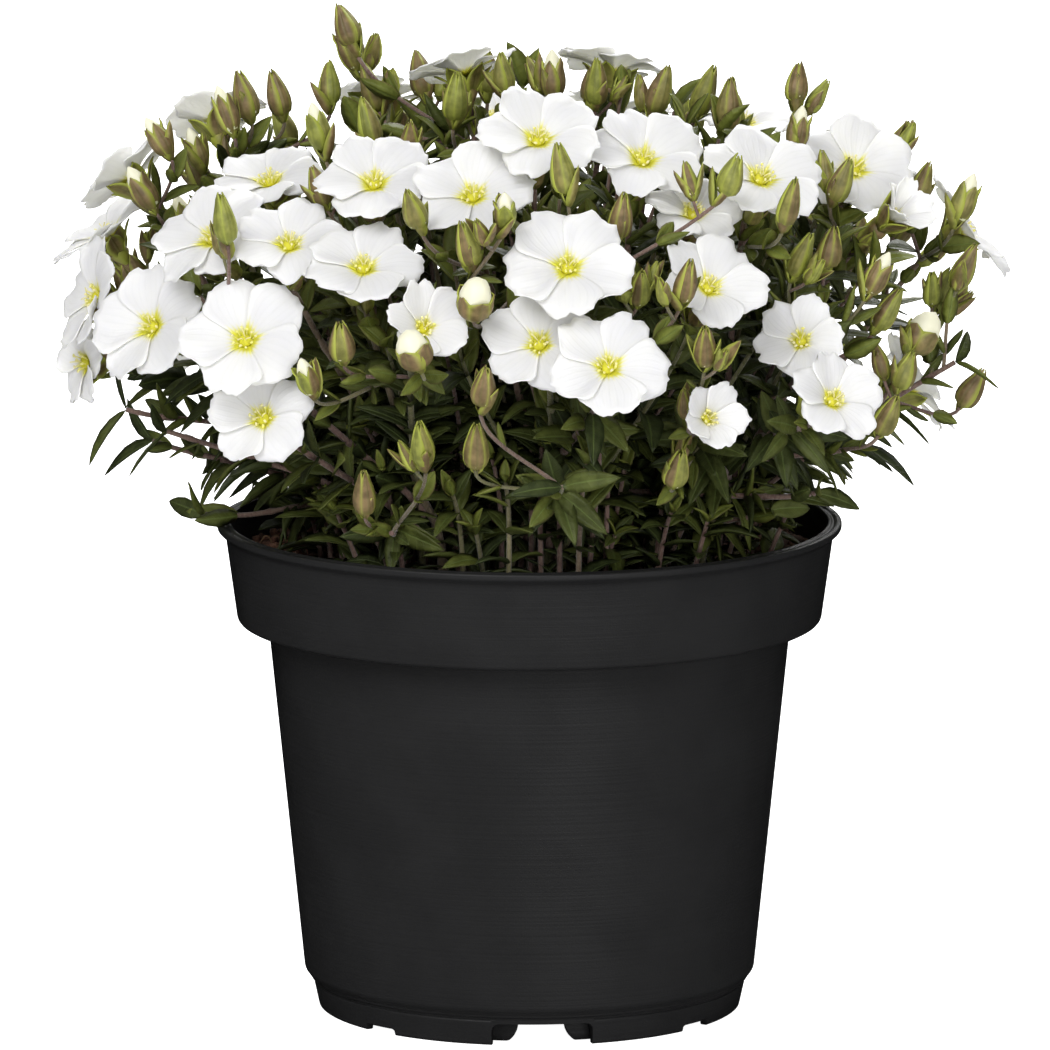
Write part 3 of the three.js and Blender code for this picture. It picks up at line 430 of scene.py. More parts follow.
def place_tufts():
    tufts = [
        SimpleNamespace(middle=on_crown(across, up), axis=facing(azimuth, 30))
        for across, up, azimuth in NEAR_TUFTS
    ]
    for step in range(RIM_TUFTS):
        turn = step * GOLDEN_ANGLE
        height = draws.between(98, 116)
        out = (CROWN_NECK + CROWN_FLARE * (height - POT_HEIGHT)) * draws.between(0.86, 1.0)
        middle = np.array([np.cos(turn) * out, np.sin(turn) * out, height])
        axis = unit(np.array([np.cos(turn), np.sin(turn), draws.between(0.4, 1.0)]))
        tufts.append(SimpleNamespace(middle=middle, axis=axis))
    return tufts


def place_feet():
    """The groups' feet, spread over the mix by the golden angle."""
    step = np.arange(GROUPS)
    out = GROUP_CIRCLE * np.sqrt((step + 0.35) / GROUPS)
    turn = step * GOLDEN_ANGLE + 0.6
    return np.stack([np.cos(turn) * out, np.sin(turn) * out, np.full(GROUPS, SOIL_TOP)], axis=1)


def bent_way(start, leave, end, arrive, count):
    """A cubic curve that leaves along one direction and arrives along another, each pulled by 0.3 of the
    distance, at evenly spaced parameters."""
    pull = np.linalg.norm(end - start) * 0.3
    part = np.linspace(0, 1, count)[:, None]
    return (
        (1 - part) ** 3 * start
        + 3 * (1 - part) ** 2 * part * (start + leave * pull)
        + 3 * (1 - part) * part ** 2 * (end - arrive * pull)
        + part ** 3 * end
    )


def distances(places, others):
    """Every distance between two lists of places, from the squares of a difference written out."""
    squares = (places ** 2).sum(axis=1)[:, None] + (others ** 2).sum(axis=1) - 2 * places @ others.T
    return np.sqrt(np.maximum(squares, 0))


def choose_foot(feet, place, loads):
    scale = GROUP_CIRCLE / CROWN_RADIUS
    apart = np.hypot(feet[:, 0] - place[0] * scale, feet[:, 1] - place[1] * scale)
    chosen = int(np.argmin(apart + np.where(loads >= GROUP_MOST, 100, 0)))
    loads[chosen] += 1
    return chosen


class Obstacles:
    """Places that others keep clear of, each with its radius and the group that it belongs to."""

    def __init__(self):
        self.places = np.empty((0, 3))
        self.radii = np.empty(0)
        self.owners = np.empty(0, dtype=int)

    def add(self, places, radius, owner):
        count = len(places)
        self.places = np.concatenate([self.places, places])
        self.radii = np.concatenate([self.radii, np.full(count, radius)])
        self.owners = np.concatenate([self.owners, np.full(count, owner)])
        return self

    def add_paths(self, paths):
        for path in paths:
            self.add(path.points, path.radius, path.owner)
        return self

    def add_buds(self, buds):
        for bud in buds:
            self.add(bud.marks, 2.5, bud.owner)
        return self


def straightened(points, stations):
    """What lies between two stations, on the straight line between them."""
    knots = [0] + [station for station in stations if station > 0]
    index = np.arange(len(points))
    return np.stack([np.interp(index, knots, points[knots, axis]) for axis in range(3)], axis=1)


def bend_clear(paths, fixed, blooms):
    """Bends stems clear. In each round every inner point moves half of the way to the middle of its
    neighbours, 0.6 of the way that it lacks from other groups' places, and off the cups of the blooms but
    its own. What is left is straight between the stations."""
    counts = [len(path.points) - 2 * STEM_FIXED for path in paths]
    owners = np.repeat([path.owner for path in paths], counts)[:, None]
    radii = np.repeat([path.radius for path in paths], counts)[:, None]
    own_bloom = np.repeat([id(path.bloom) for path in paths], counts)
    for _ in range(STEM_ROUNDS):
        others = Obstacles()
        others.places, others.radii, others.owners = fixed.places, fixed.radii, fixed.owners
        others.add_paths(paths)
        inner = np.concatenate([path.points[STEM_FIXED:-STEM_FIXED] for path in paths])
        before = np.concatenate([path.points[STEM_FIXED - 1:-STEM_FIXED - 1] for path in paths])
        after = np.concatenate([path.points[STEM_FIXED + 1:len(path.points) - 1] for path in paths])
        move = ((before + after) / 2 - inner) * 0.5
        apart = distances(inner, others.places)
        need = others.radii + radii + STEM_ROOM
        close = (others.owners != owners) & (apart < need)
        push = np.where(close, (need - apart) / np.maximum(apart, 1e-6) * 0.6, 0)
        move += push.sum(axis=1)[:, None] * inner - push @ others.places
        for bloom in blooms:
            over, beyond, outward = from_cup(bloom, inner)
            near = (np.abs(over) < CUP_ROOM) & (beyond < CUP_ROOM) & (own_bloom != id(bloom))
            slip = np.where(near, np.minimum(CUP_ROOM - beyond, 1.2), 0)
            lift = np.where(near, 0.3 * np.sign(over) * (CUP_ROOM - np.abs(over)), 0)
            move += slip[:, None] * outward + lift[:, None] * bloom.axis
        moved = np.split(inner + move, np.cumsum(counts)[:-1])
        for path, points in zip(paths, moved):
            path.points = np.concatenate([path.points[:STEM_FIXED], points, path.points[-STEM_FIXED:]])
    for path in paths:
        path.points = straightened(path.points, path.stations)


def grow_stems(feet, blooms, tufts, buds):
    """Every bloom and tuft belongs to the group whose foot suits it best. The end nearest to the group's
    middle has the leading stem, which rises from the foot, and the others branch from that one in turn."""
    loads = np.zeros(len(feet), dtype=int)
    ends = [
        SimpleNamespace(owner=choose_foot(feet, bloom.middle, loads), bloom=bloom, axis=bloom.axis,
                        end=bloom.middle - bloom.axis * (SEAT + CALYX_DROP))
        for bloom in blooms
    ]
    tuft_loads = np.full(len(feet), GROUP_MOST - TUFTS_PER_GROUP)
    ends += [
        SimpleNamespace(owner=choose_foot(feet, tuft.middle, tuft_loads), bloom=None, axis=tuft.axis,
                        end=tuft.middle)
        for tuft in tufts
    ]
    leaders = []
    for owner, foot in enumerate(feet):
        own = [each for each in ends if each.owner == owner]
        mean = sum(each.end for each in own) / len(own)
        chosen = min(own, key=lambda each: np.linalg.norm(each.end - mean))
        bottom = foot + UP * (HOLE_GAP - HOLE_DEPTH)
        start = foot + UP * LEADER_RISE
        points = np.concatenate([bottom[None], bent_way(start, UP, chosen.end, chosen.axis, STEM_POINTS)])
        leaders.append(SimpleNamespace(**vars(chosen), radius=LEADER_RADIUS, stations=LEADER_STATIONS,
                                       points=points, leads=True))
    bend_clear(leaders, Obstacles().add_buds(buds), blooms)
    branches = []
    for leader in leaders:
        own = [each for each in ends if each.owner == leader.owner and each.end is not leader.end]
        own.sort(key=lambda each: -np.linalg.norm(each.end - leader.end))
        for order, each in enumerate(own):
            index = FIRST_BRANCH + BRANCH_STEP * order
            start = leader.points[index]
            leave = unit(unit(each.end - start) + unit(leader.points[index + 1] - leader.points[index - 1]))
            points = bent_way(start, leave, each.end, each.axis, STEM_POINTS)
            branches.append(SimpleNamespace(**vars(each), radius=STEM_RADIUS, stations=STEM_STATIONS,
                                            points=points, leads=False))
    bend_clear(branches, Obstacles().add_buds(buds).add_paths(leaders), blooms)
    return leaders + branches


def way_is_clear(start, end, owner, blooms, taken):
    ways = mixed(start, end, (0.15 + np.arange(12) / 12)[:, None])
    if any(meets_cup(bloom, ways, 2) for bloom in blooms):
        return False
    apart = distances(ways, taken.places).min(axis=0)
    return bool(((taken.owners == owner) | (apart > taken.radii + 1.9)).all())


def grow_stalks(stems, blooms, buds):
    """Each bud's stalk is straight and springs from the stem whose place, distance and slant suit it best.
    A bud that no stalk reaches is left out."""
    stalks = []
    taken = Obstacles().add_paths(stems)
    starts = np.concatenate([stem.points[6:-1] for stem in stems])
    owners = np.concatenate([np.full(len(stem.points) - 7, stem.owner) for stem in stems])
    origins = [
        (number, index) for number, stem in enumerate(stems) for index in range(6, len(stem.points) - 1)]
    for bud in buds:
        foot = bud.middle - bud.axis * bud.length * 0.5
        ways = foot - starts
        lengths = np.linalg.norm(ways, axis=1)
        faults = 0.7 * np.abs(lengths - 13) + 9 * (1 - ways @ bud.axis / lengths)
        for pick in np.argsort(faults, kind="stable")[:STALK_TRIES]:
            start, owner = starts[pick], int(owners[pick])
            if way_is_clear(start, foot, owner, blooms, taken):
                bud.owner = owner
                points = mixed(start, foot, np.linspace(0, 1, STALK_POINTS)[:, None])
                stalks.append(SimpleNamespace(owner=owner, radius=STALK_RADIUS, points=points, bud=bud,
                                              origin=origins[pick]))
                taken.add(points, STALK_RADIUS, owner).add(bud.marks, 2.5, owner)
                break
    return stalks


def leaf_way(start, along, side, length, slant, curl, part):
    """A leaf's middle line: it leaves the stem at a slant, bends away by the square of the part and
    sinks by half as much."""
    out = along * np.cos(slant) + side * np.sin(slant)
    bend = side * np.cos(slant) - along * np.sin(slant)
    return start + out * length * part + (bend - 0.5 * UP) * length * curl * part * part


def leaf_is_clear(marks, owner, taken, blooms):
    inside = np.hypot(marks[:, 0], marks[:, 1]) < 53
    if not ((marks[:, 2] > SOIL_TOP + 3.5) & ((marks[:, 2] > POT_HEIGHT + 2.5) | inside)).all():
        return False
    if any(meets_cup(bloom, marks, 3) for bloom in blooms):
        return False
    apart = distances(marks, taken.places).min(axis=0)
    return bool((apart > taken.radii + np.where(taken.owners == owner, 2.0, 2.6)).all())


def grow_leaves(stems, stalks, blooms, buds):
    """Opposite leaves, each pair square to the pair before. A leaf that would meet another group's stem,
    bud, leaf or bloom is turned about its stem, or left out."""
    taken = Obstacles().add_buds(buds).add_paths(stems).add_paths(stalks)
    leaves = []
    for stem in stems:
        turn = draws.between(0, np.pi)
        nodes = LEADER_NODES if stem.leads else BLOOM_NODES if stem.bloom else TUFT_NODES
        for index in nodes:
            ahead = stem.points[min(index + 1, len(stem.points) - 1)]
            along = unit(ahead - stem.points[index - 1])
            first, second = sideways(along)
            turn += np.pi / 2 + draws.between(-0.25, 0.25)
            length = LEAF_LENGTH * draws.between(0.85, 1.2)
            slant = draws.between(0.7, 1.1)
            for half in (0, np.pi):
                for nudge in LEAF_NUDGES:
                    angle = turn + half + nudge
                    side = first * np.cos(angle) + second * np.sin(angle)
                    parts = np.array([0.35, 0.62, 0.9])[:, None]
                    marks = leaf_way(stem.points[index], along, side, length, slant, LEAF_CURL, parts)
                    if leaf_is_clear(marks, stem.owner, taken, blooms):
                        leaves.append(SimpleNamespace(
                            owner=stem.owner, start=stem.points[index], along=along, side=side, length=length,
                            slant=slant, width=LEAF_WIDTH * draws.between(0.85, 1.15)))
                        taken.add(marks, 1.7, stem.owner)
                        break
    return leaves


blooms = place_blooms()
buds = place_buds(blooms)
tufts = place_tufts()
feet = place_feet()
stems = grow_stems(feet, blooms, tufts, buds)
stalks = grow_stalks(stems, blooms, buds)
leaves = grow_leaves(stems, stalks, blooms, buds)


# From here on the fine surfaces
BLOOM_ROWS = 10
BLOOM_COLUMNS = 15
PETAL_THICK = 0.22
SEPAL_THICK = 0.28
BLADE_THICK = 0.45
LEAF_ROWS = np.array([0.0, 0.1, 0.28, 0.5, 0.72, 0.9, 1.0])
LEAF_ACROSS = np.array([-1.0, -0.45, 0.0, 0.45, 1.0])
SHOWN_LENGTH = 0.9
SHOWN_WIDTH = 0.88
STEM_STEPS = 45
INSIDE_RIM = 54.0
STAMENS = 10
FILLER_SHOOTS = 156
RIM_SHOOTS = 78
CRUMBS = 900
FIBRES = 260
FIFTHS = np.arange(5)[:, None, None] * 2 * np.pi / 5
CUP_PARTS = np.linspace(0, 1.25, 40)
PETAL, CENTRE = range(2)
STEM, LEAF, SEPAL, BUD_PETAL = range(4)
luck = np.random.default_rng(417)


class Shell:
    """Collects the grids of one piece. Every square of neighbouring places of a grid is a face, and grids
    that meet place on place are welded when the mesh is made."""

    def __init__(self):
        self.places, self.faces, self.slots, self.uvs, self.tones = [], [], [], [], []
        self.count = 0

    def add(self, grids, slot, tone=0.5, across=None, along=None):
        """grids has the axes item, row, column and x-y-z, or lacks the first. The piece's UV runs across
        the columns and along the rows, and the tone is one number for each item or for all."""
        if grids.ndim == 3:
            grids = grids[None]
        shape = grids.shape[:3]
        index = self.count + np.arange(np.prod(shape)).reshape(shape)
        corners = index[:, :-1, :-1], index[:, :-1, 1:], index[:, 1:, 1:], index[:, 1:, :-1]
        across = np.linspace(0, 1, shape[2]) if across is None else across
        along = np.linspace(0, 1, shape[1]) if along is None else along
        uv = np.stack(np.broadcast_arrays(across[None, :], along[:, None]), axis=-1)
        self.places.append(grids.reshape(-1, 3))
        self.faces.append(np.stack(corners, axis=-1).reshape(-1, 4))
        self.slots.append(np.full(len(self.faces[-1]), slot))
        self.uvs.append(np.broadcast_to(uv, shape + (2,)).reshape(-1, 2))
        self.tones.append(np.broadcast_to(np.reshape(tone, (-1, 1, 1)), shape).reshape(-1))
        self.count += index.size

    def add_slab(self, grids, ways, thick, slot, tone):
        """A sheet with two faces and a rim. The lower face lies a thickness down the unit normals, which
        are the cross product of the differences along columns and rows, turned to the side of the ways."""
        normals = unit(np.cross(np.gradient(grids, axis=-2), np.gradient(grids, axis=-3)) + 1e-12)
        normals *= np.sign((normals * ways).sum(axis=-1).mean(axis=(1, 2)))[:, None, None, None]
        under = grids - normals * thick
        self.add(grids, slot, tone)
        self.add(under, slot, tone)
        for end in (0, -1):
            rim = np.stack([grids[:, end], under[:, end]], axis=1)
            self.add(rim, slot, tone, along=np.full(2, -end))
            rim = np.stack([grids[:, :, end], under[:, :, end]], axis=2)
            self.add(rim, slot, tone, across=np.full(2, -end))


def make_piece(name, shell, materials, nodes):
    """The piece's mesh in metres, its doubles welded and its faces turned outwards, riding on the root."""
    mesh = bpy.data.meshes.new(name)
    faces = np.concatenate(shell.faces)
    mesh.vertices.add(shell.count)
    mesh.vertices.foreach_set("co", (np.concatenate(shell.places) / 1000).ravel())
    mesh.loops.add(faces.size)
    mesh.loops.foreach_set("vertex_index", faces.ravel())
    mesh.polygons.add(len(faces))
    mesh.polygons.foreach_set("loop_start", np.arange(0, faces.size, 4))
    mesh.polygons.foreach_set("material_index", np.concatenate(shell.slots))
    uvs = np.concatenate(shell.uvs)[faces.ravel()]
    mesh.uv_layers.new(name="surface").data.foreach_set("uv", uvs.ravel())
    tones = mesh.attributes.new("tone", "FLOAT", "POINT")
    tones.data.foreach_set("value", np.concatenate(shell.tones))
    mesh.update(calc_edges=True)
    welded = bmesh.new()
    welded.from_mesh(mesh)
    bmesh.ops.remove_doubles(welded, verts=welded.verts, dist=2e-6)
    bmesh.ops.recalc_face_normals(welded, faces=welded.faces)
    welded.to_mesh(mesh)
    welded.free()
    mesh.polygons.foreach_set("use_smooth", np.ones(len(mesh.polygons), dtype=bool))
    for material in materials:
        mesh.materials.append(material)
    piece = bpy.data.objects.new(name, mesh)
    bpy.context.scene.collection.objects.link(piece)
    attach(piece, "root")
    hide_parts(*nodes)


def smooth_step(low, high, value):
    part = np.clip((value - low) / (high - low), 0, 1)
    return part * part * (3 - 2 * part)


def level_across(ways):
    """The level direction square to each way, or any where a way is upright."""
    return unit(np.stack([-ways[..., 1], ways[..., 0], np.full(ways.shape[:-1], 1e-4)], axis=-1))


def flowing(points, knots, last_way, count):
    """A smooth way through the knots of a path: a cubic between each two, whose slope at a knot is that of
    the line between its neighbours, and at the end the last way. Evenly spaced in the path's index."""
    knots = np.array(sorted(set([0, *knots])))
    fixed = points[knots]
    slopes = np.gradient(fixed, knots, axis=0)
    slopes[-1] = last_way * np.linalg.norm(slopes[-1])
    index = np.linspace(0, knots[-1], count)
    part = np.clip(np.searchsorted(knots, index, side="right") - 1, 0, len(knots) - 2)
    step = (knots[part + 1] - knots[part])[:, None]
    t = ((index - knots[part])[:, None]) / step
    return (
        (2 * t ** 3 - 3 * t ** 2 + 1) * fixed[part]
        + (t ** 3 - 2 * t ** 2 + t) * step * slopes[part]
        + (3 * t ** 2 - 2 * t ** 3) * fixed[part + 1]
        + (t ** 3 - t ** 2) * step * slopes[part + 1]
    )


def tubes(ways, radii, sides):
    """Round tubes: a ring of places round every point of each way, square to the way there, and a point at
    either end. The rings start from the level direction square to the way as a whole."""
    tangents = unit(np.gradient(ways, axis=-2))
    level = level_across(ways[:, -1] - ways[:, 0])[:, None]
    first = unit(level - (level * tangents).sum(-1, keepdims=True) * tangents)
    second = np.cross(tangents, first)
    turns = np.linspace(0, 2 * np.pi, sides + 1)[:, None]
    ring = first[:, :, None] * np.cos(turns) + second[:, :, None] * np.sin(turns)
    grids = ways[:, :, None] + np.broadcast_to(radii, ways.shape[:2])[..., None, None] * ring
    ends = np.repeat(ways[:, [0, -1], None], sides + 1, axis=2)
    return np.concatenate([ends[:, :1], grids, ends[:, 1:]], axis=1)


def each_blade(blades, change):
    """A batch of leaves, whose sizes and directions are rows of arrays, with each array changed."""
    return SimpleNamespace(**{name: change(name, values) for name, values in vars(blades).items()})


def by_rows(blades):
    """A batch of leaves with an axis for the rows along each leaf, and a function for the middle lines."""
    blades = each_blade(blades, lambda _, values: values.reshape(len(values), 1, -1))
    return blades, lambda part: leaf_way(
        blades.start, blades.along, blades.side, blades.length, blades.slant, blades.curl, part)


def add_blades(shell, slot, blades):
    """Adds lance-shaped leaves. The middle line is the solids' own. The half width is the 0.8th power of
    the sine of pi times the 0.8th power of the part. The blade turns about its middle line by the twist, is
    folded up along it, and is thickest there; both faces meet in the rim and in the two ends."""
    part = LEAF_ROWS[None, :, None]
    v = LEAF_ACROSS[None, None, :, None]
    wide, middle_at = by_rows(blades)
    out = wide.along * np.cos(wide.slant) + wide.side * np.sin(wide.slant)
    bend = wide.side * np.cos(wide.slant) - wide.along * np.sin(wide.slant) - 0.5 * UP
    ahead = unit(out + 2 * bend * wide.curl * part)
    flat = unit(np.cross(wide.along, wide.side)) + 0 * ahead
    upright = unit(np.cross(ahead, flat))
    cos, sin = np.cos(wide.twist * part), np.sin(wide.twist * part)
    across, upper = (flat * cos + upright * sin)[:, :, None], (upright * cos - flat * sin)[:, :, None]
    shape = np.maximum(np.sin(np.pi * part ** 0.8), 0) ** 0.8
    half = (wide.width / 2 * shape)[..., None]
    lift = wide.fold[..., None] * half * np.abs(v) ** 1.4
    top = middle_at(part)[:, :, None] + across * half * v + upper * lift
    under = top - upper * (BLADE_THICK * shape[..., None] ** 0.5 * (1 - v ** 2))
    for grids in (top, under[:, :, [0, 2, 4]]):
        shell.add(grids, slot, blades.tone, along=LEAF_ROWS)


def joined_blades(batches):
    return each_blade(batches[0], lambda name, _: np.concatenate([getattr(each, name) for each in batches]))


def low_outside(places):
    """1 at places low down and well outside the pot's rim, and 0 elsewhere, with a soft border."""
    outside = smooth_step(58, 70, np.hypot(places[..., 0], places[..., 1]))
    return outside * smooth_step(128, 112, places[..., 2])


def clear_blades(blades, room=1.3):
    """Leaves out the leaves that would pass through a bloom, the pot's wall or the potting mix, and some
    of those low down outside the rim."""
    marks = by_rows(blades)[1](np.array([0.3, 0.6, 0.95])[None, :, None])
    inside = (marks[..., 2] > POT_HEIGHT + 1.2) | (np.hypot(marks[..., 0], marks[..., 1]) < INSIDE_RIM)
    clear = ((marks[..., 2] > SOIL_TOP + 2.5) & inside).all(axis=1)
    clear &= luck.random(len(marks)) > 0.45 * low_outside(blades.start)
    for bloom in blooms:
        clear &= ~in_cup(bloom, marks, room).any(axis=1)
    return each_blade(blades, lambda _, values: values[clear])


def solid_blades(own):
    """The solids' leaves, a little slimmer, as one batch, each with a fold, twist and tone of its own."""
    rows = SimpleNamespace(start=None, along=None, side=None, length=None, width=None, slant=None)
    rows = each_blade(rows, lambda name, _: np.array([getattr(leaf, name) for leaf in own]))
    rows.length *= SHOWN_LENGTH
    rows.width *= SHOWN_WIDTH
    rows.curl = np.full(len(own), LEAF_CURL)
    rows.twist = luck.uniform(-0.3, 0.3, len(own))
    rows.fold = luck.uniform(0.1, 0.45, len(own))
    rows.tone = luck.uniform(0.0, 0.6, len(own))
    return rows


def paired_blades(ways, nodes, lengths, widths, slants, tones, curls=(0.05, 0.4)):
    """Opposite leaves at the nodes of ways, each pair square to the pair before, but for those in the way
    of something. nodes are row numbers of the ways, and lengths, widths as parts of them, slants and tones
    are given for the first and the last node. The curls are a range. Leaves low down and outside the pot's
    rim are up to 0.3 shorter."""
    nodes = np.array(nodes)
    full = (len(ways), len(nodes), 2)
    part = np.linspace(0, 1, len(nodes))[None, :, None]
    along = unit(ways[:, np.minimum(nodes + 1, ways.shape[1] - 1)] - ways[:, np.maximum(nodes - 1, 0)])
    level = level_across(along)
    turn = luck.uniform(0, np.pi, (len(ways), 1)) + np.arange(len(nodes)) * np.pi / 2
    turn = (turn + luck.uniform(-0.3, 0.3, full[:2]))[..., None] + np.array([0, np.pi])
    turn = (turn + luck.uniform(-0.12, 0.12, full))[..., None]
    side = level[:, :, None] * np.cos(turn) + np.cross(along, level)[:, :, None] * np.sin(turn)
    start = ways[:, nodes]
    length = mixed(*lengths, part) * luck.uniform(0.75, 1.2, full[:2] + (1,))
    length = length * (1 - 0.3 * low_outside(start)[..., None])
    row = lambda values: np.broadcast_to(values, full).reshape(-1)
    rows = lambda ways: np.broadcast_to(ways[:, :, None], full + (3,)).reshape(-1, 3)
    near = lambda middle, low, high: row(middle + luck.uniform(low, high, full))
    return clear_blades(SimpleNamespace(
        start=rows(start), along=rows(along), side=side.reshape(-1, 3), length=row(length),
        width=row(length * mixed(*widths, part) * luck.uniform(0.85, 1.15, full)),
        slant=near(mixed(*slants, part), -0.2, 0.2), curl=near(0, *curls), twist=near(0, -0.5, 0.5),
        fold=near(0, 0.1, 0.5), tone=near(mixed(*tones, part), -0.2, 0.2)))


def bract_blades(ways, axis):
    """A pair of broad bracts that hug what grows above them, at the last but one place of each way."""
    count = 2 * len(ways)
    first, second = sideways(axis)
    turn = np.repeat(luck.uniform(0, np.pi) + np.array([0, np.pi]), len(ways))[:, None]
    length = luck.uniform(5.5, 8.0, count)
    return SimpleNamespace(
        start=np.repeat(ways[:, -2], 2, axis=0), along=np.repeat(axis[None], count, axis=0),
        side=first * np.cos(turn) + second * np.sin(turn), length=length,
        width=length * luck.uniform(0.44, 0.52, count), slant=luck.uniform(0.4, 0.75, count),
        curl=luck.uniform(-0.32, -0.12, count), twist=luck.uniform(-0.15, 0.15, count),
        fold=luck.uniform(0.4, 0.7, count), tone=luck.uniform(0.15, 0.95, count))


def add_petals(shell, bloom):
    """Five broad petals. On the flattened bloom a petal's place is (length times u, less at its corners)
    along its own axis and (half width times v) across it; the half width swells to 0.6 of the length at
    u = 0.64 and narrows to 0.47 at the tip, both times a factor of the petal's own. Its polar form is then
    turned a little and wrapped on the cup of petal_curve. Ripples, a rise or fall of the outer part, and a
    lean of one edge over the next petal are added along the bloom's axis."""
    u = np.linspace(0.03, 1, BLOOM_ROWS)[None, :, None]
    v = np.linspace(-1, 1, BLOOM_COLUMNS)[None, None, :]
    own = lambda low, high: luck.uniform(low, high, (5, 1, 1))
    reach = 1 + np.reshape(bloom.waves, (5, 3))[:, 1:].mean(axis=1)[:, None, None]
    waves = (0.017, 6.5), (0.015, 13), (0.01, 19)
    edge = sum(size * np.sin(speed * v + own(0, 6)) for size, speed in waves)
    dent = own(0.0, 0.09) * np.exp(-((v - own(-0.25, 0.25)) / 0.18) ** 2)
    length = reach * u * (1 - 0.25 * np.abs(v) ** 3 * u ** 2 + (edge - dent) * u ** 5)
    swell = 0.10 + 0.50 * smooth_step(0.0, 0.64, u) ** 0.9 - 0.13 * smooth_step(0.64, 1.0, u) ** 1.3
    across = swell * v * own(0.76, 1.02)
    polar = np.hypot(length, across)
    turn = bloom.turn + FIFTHS + np.pi / 5 + own(-0.06, 0.06) + np.arctan2(across, length)
    outs, heights, _ = petal_curve(bloom.open, CUP_PARTS)
    out = np.interp(polar, CUP_PARTS, outs) * bloom.petal
    height = np.interp(polar, CUP_PARTS, heights) * bloom.petal
    fall = own(-0.10, 0.05) if bloom.open > 0.7 else own(-0.02, 0.02)
    height = height + bloom.petal * (
        0.036 * u ** 2 * np.sin(3.0 * v + own(0, 6)) + 0.022 * u ** 3 * np.sin(7.5 * v + own(0, 6))
        + fall * u ** 3 - 0.02 * np.exp(-(v / 0.16) ** 2) * u * (1 - u) + own(-0.03, 0.035) * v ** 2 * u
    )
    height = height + v * (0.4 * np.minimum(u * 4, 1) + 0.45 * u ** 2)
    grids = in_bloom(bloom, out, turn, height)
    shell.add_slab(grids, bloom.axis, PETAL_THICK, PETAL, luck.uniform(0.2, 0.8, 5))


def add_centre(shell, bloom):
    """A three-lobed ovary with three bent styles, and round it the stamens: a thin filament each, and an
    anther, a ball drawn out along a way of its own."""
    squeeze = mixed(0.45, 1.0, bloom.open)
    turns = np.linspace(0, 2 * np.pi, 11)
    radius = np.array([0.0, 1.3, 1.15, 0.6, 0.0])[:, None] * (1 + 0.08 * np.cos(3 * turns)) * squeeze
    height = 0.2 + 1.9 * np.array([0.0, 0.35, 0.7, 0.9, 1.0])[:, None]
    shell.add(in_bloom(bloom, radius, turns, height), CENTRE, 0.2)
    part = np.linspace(0, 1, 5)
    turn = np.arange(3)[:, None] * 2 * np.pi / 3 + luck.uniform(0, 2)
    styles = in_bloom(bloom, (0.3 + 1.1 * part ** 2) * squeeze, turn + 0.4 * part, 2.0 + 1.7 * part)
    shell.add(tubes(styles, 0.13, 4), CENTRE, 0.9)
    turn = (np.arange(STAMENS)[:, None] + luck.uniform(-0.25, 0.25, (STAMENS, 1))) * 2 * np.pi / STAMENS
    reach = luck.uniform(1.3, 2.3, (STAMENS, 1))
    rise = luck.uniform(1.7, 2.7, (STAMENS, 1))
    filaments = in_bloom(bloom, mixed(0.9, reach, part ** 1.3) * squeeze, turn, 0.4 + rise * part)
    shell.add(tubes(filaments, 0.11, 4), CENTRE, 0.7)
    rows = np.linspace(0, np.pi, 6)[:, None, None]
    turns = np.linspace(0, 2 * np.pi, 8)[:, None]
    long_way = unit(luck.normal(size=(STAMENS, 3)) + bloom.axis)
    first = unit(np.cross(long_way, unit(luck.normal(size=(STAMENS, 3)))))
    second = np.cross(long_way, first)
    ring = first[:, None, None] * np.cos(turns) + second[:, None, None] * np.sin(turns)
    anthers = 0.26 * np.sin(rows) * ring - 0.38 * np.cos(rows) * long_way[:, None, None]
    shell.add(filaments[:, -1, None, None] + anthers, CENTRE, luck.uniform(0.6, 1.0, STAMENS))


def add_calyx(shell, bloom):
    """Five pointed sepals under a bloom: their middle line climbs from the stem's end and lies along the
    underside of the cup, and they are widest at two fifths. Between them and the stem is a turned seat."""
    u = np.linspace(0, 1, 9)[None, :, None]
    v = np.linspace(-1, 1, 5)[None, None, :]
    outs, heights, _ = petal_curve(bloom.open, CUP_PARTS)
    reach = min(luck.uniform(5.6, 6.6), outs.max() * bloom.petal * 0.62)
    out = 0.9 + (reach - 0.9) * u ** 0.9
    under = np.interp(out, outs * bloom.petal, heights * bloom.petal)
    height = under - 1.05 - 3.0 * (1 - u) ** 2 - 0.25 * v ** 2 + 0.12 * v
    across = 2.0 * np.sin(np.pi * (0.12 + 0.88 * u) ** 0.75) ** 0.8 * np.minimum(1, out / 2) * v
    grids = in_bloom(bloom, np.hypot(out, across), bloom.turn + FIFTHS + np.arctan2(across, out), height)
    shell.add_slab(grids, bloom.axis, SEPAL_THICK, SEPAL, luck.uniform(0.2, 0.8, 5))
    heights = np.array([-5.9, -5.6, -4.6, -3.4, -2.2, -1.2])[:, None]
    radius = np.array([0.0, 0.62, 1.25, 2.0, 1.7, 0.0])[:, None]
    shell.add(in_bloom(bloom, radius, np.linspace(0, 2 * np.pi, 9), heights), SEPAL, 0.3)


def bud_profile(part):
    return np.maximum(np.sin(np.pi * np.clip(part, 0, 1) ** 0.62), 0) ** 0.8


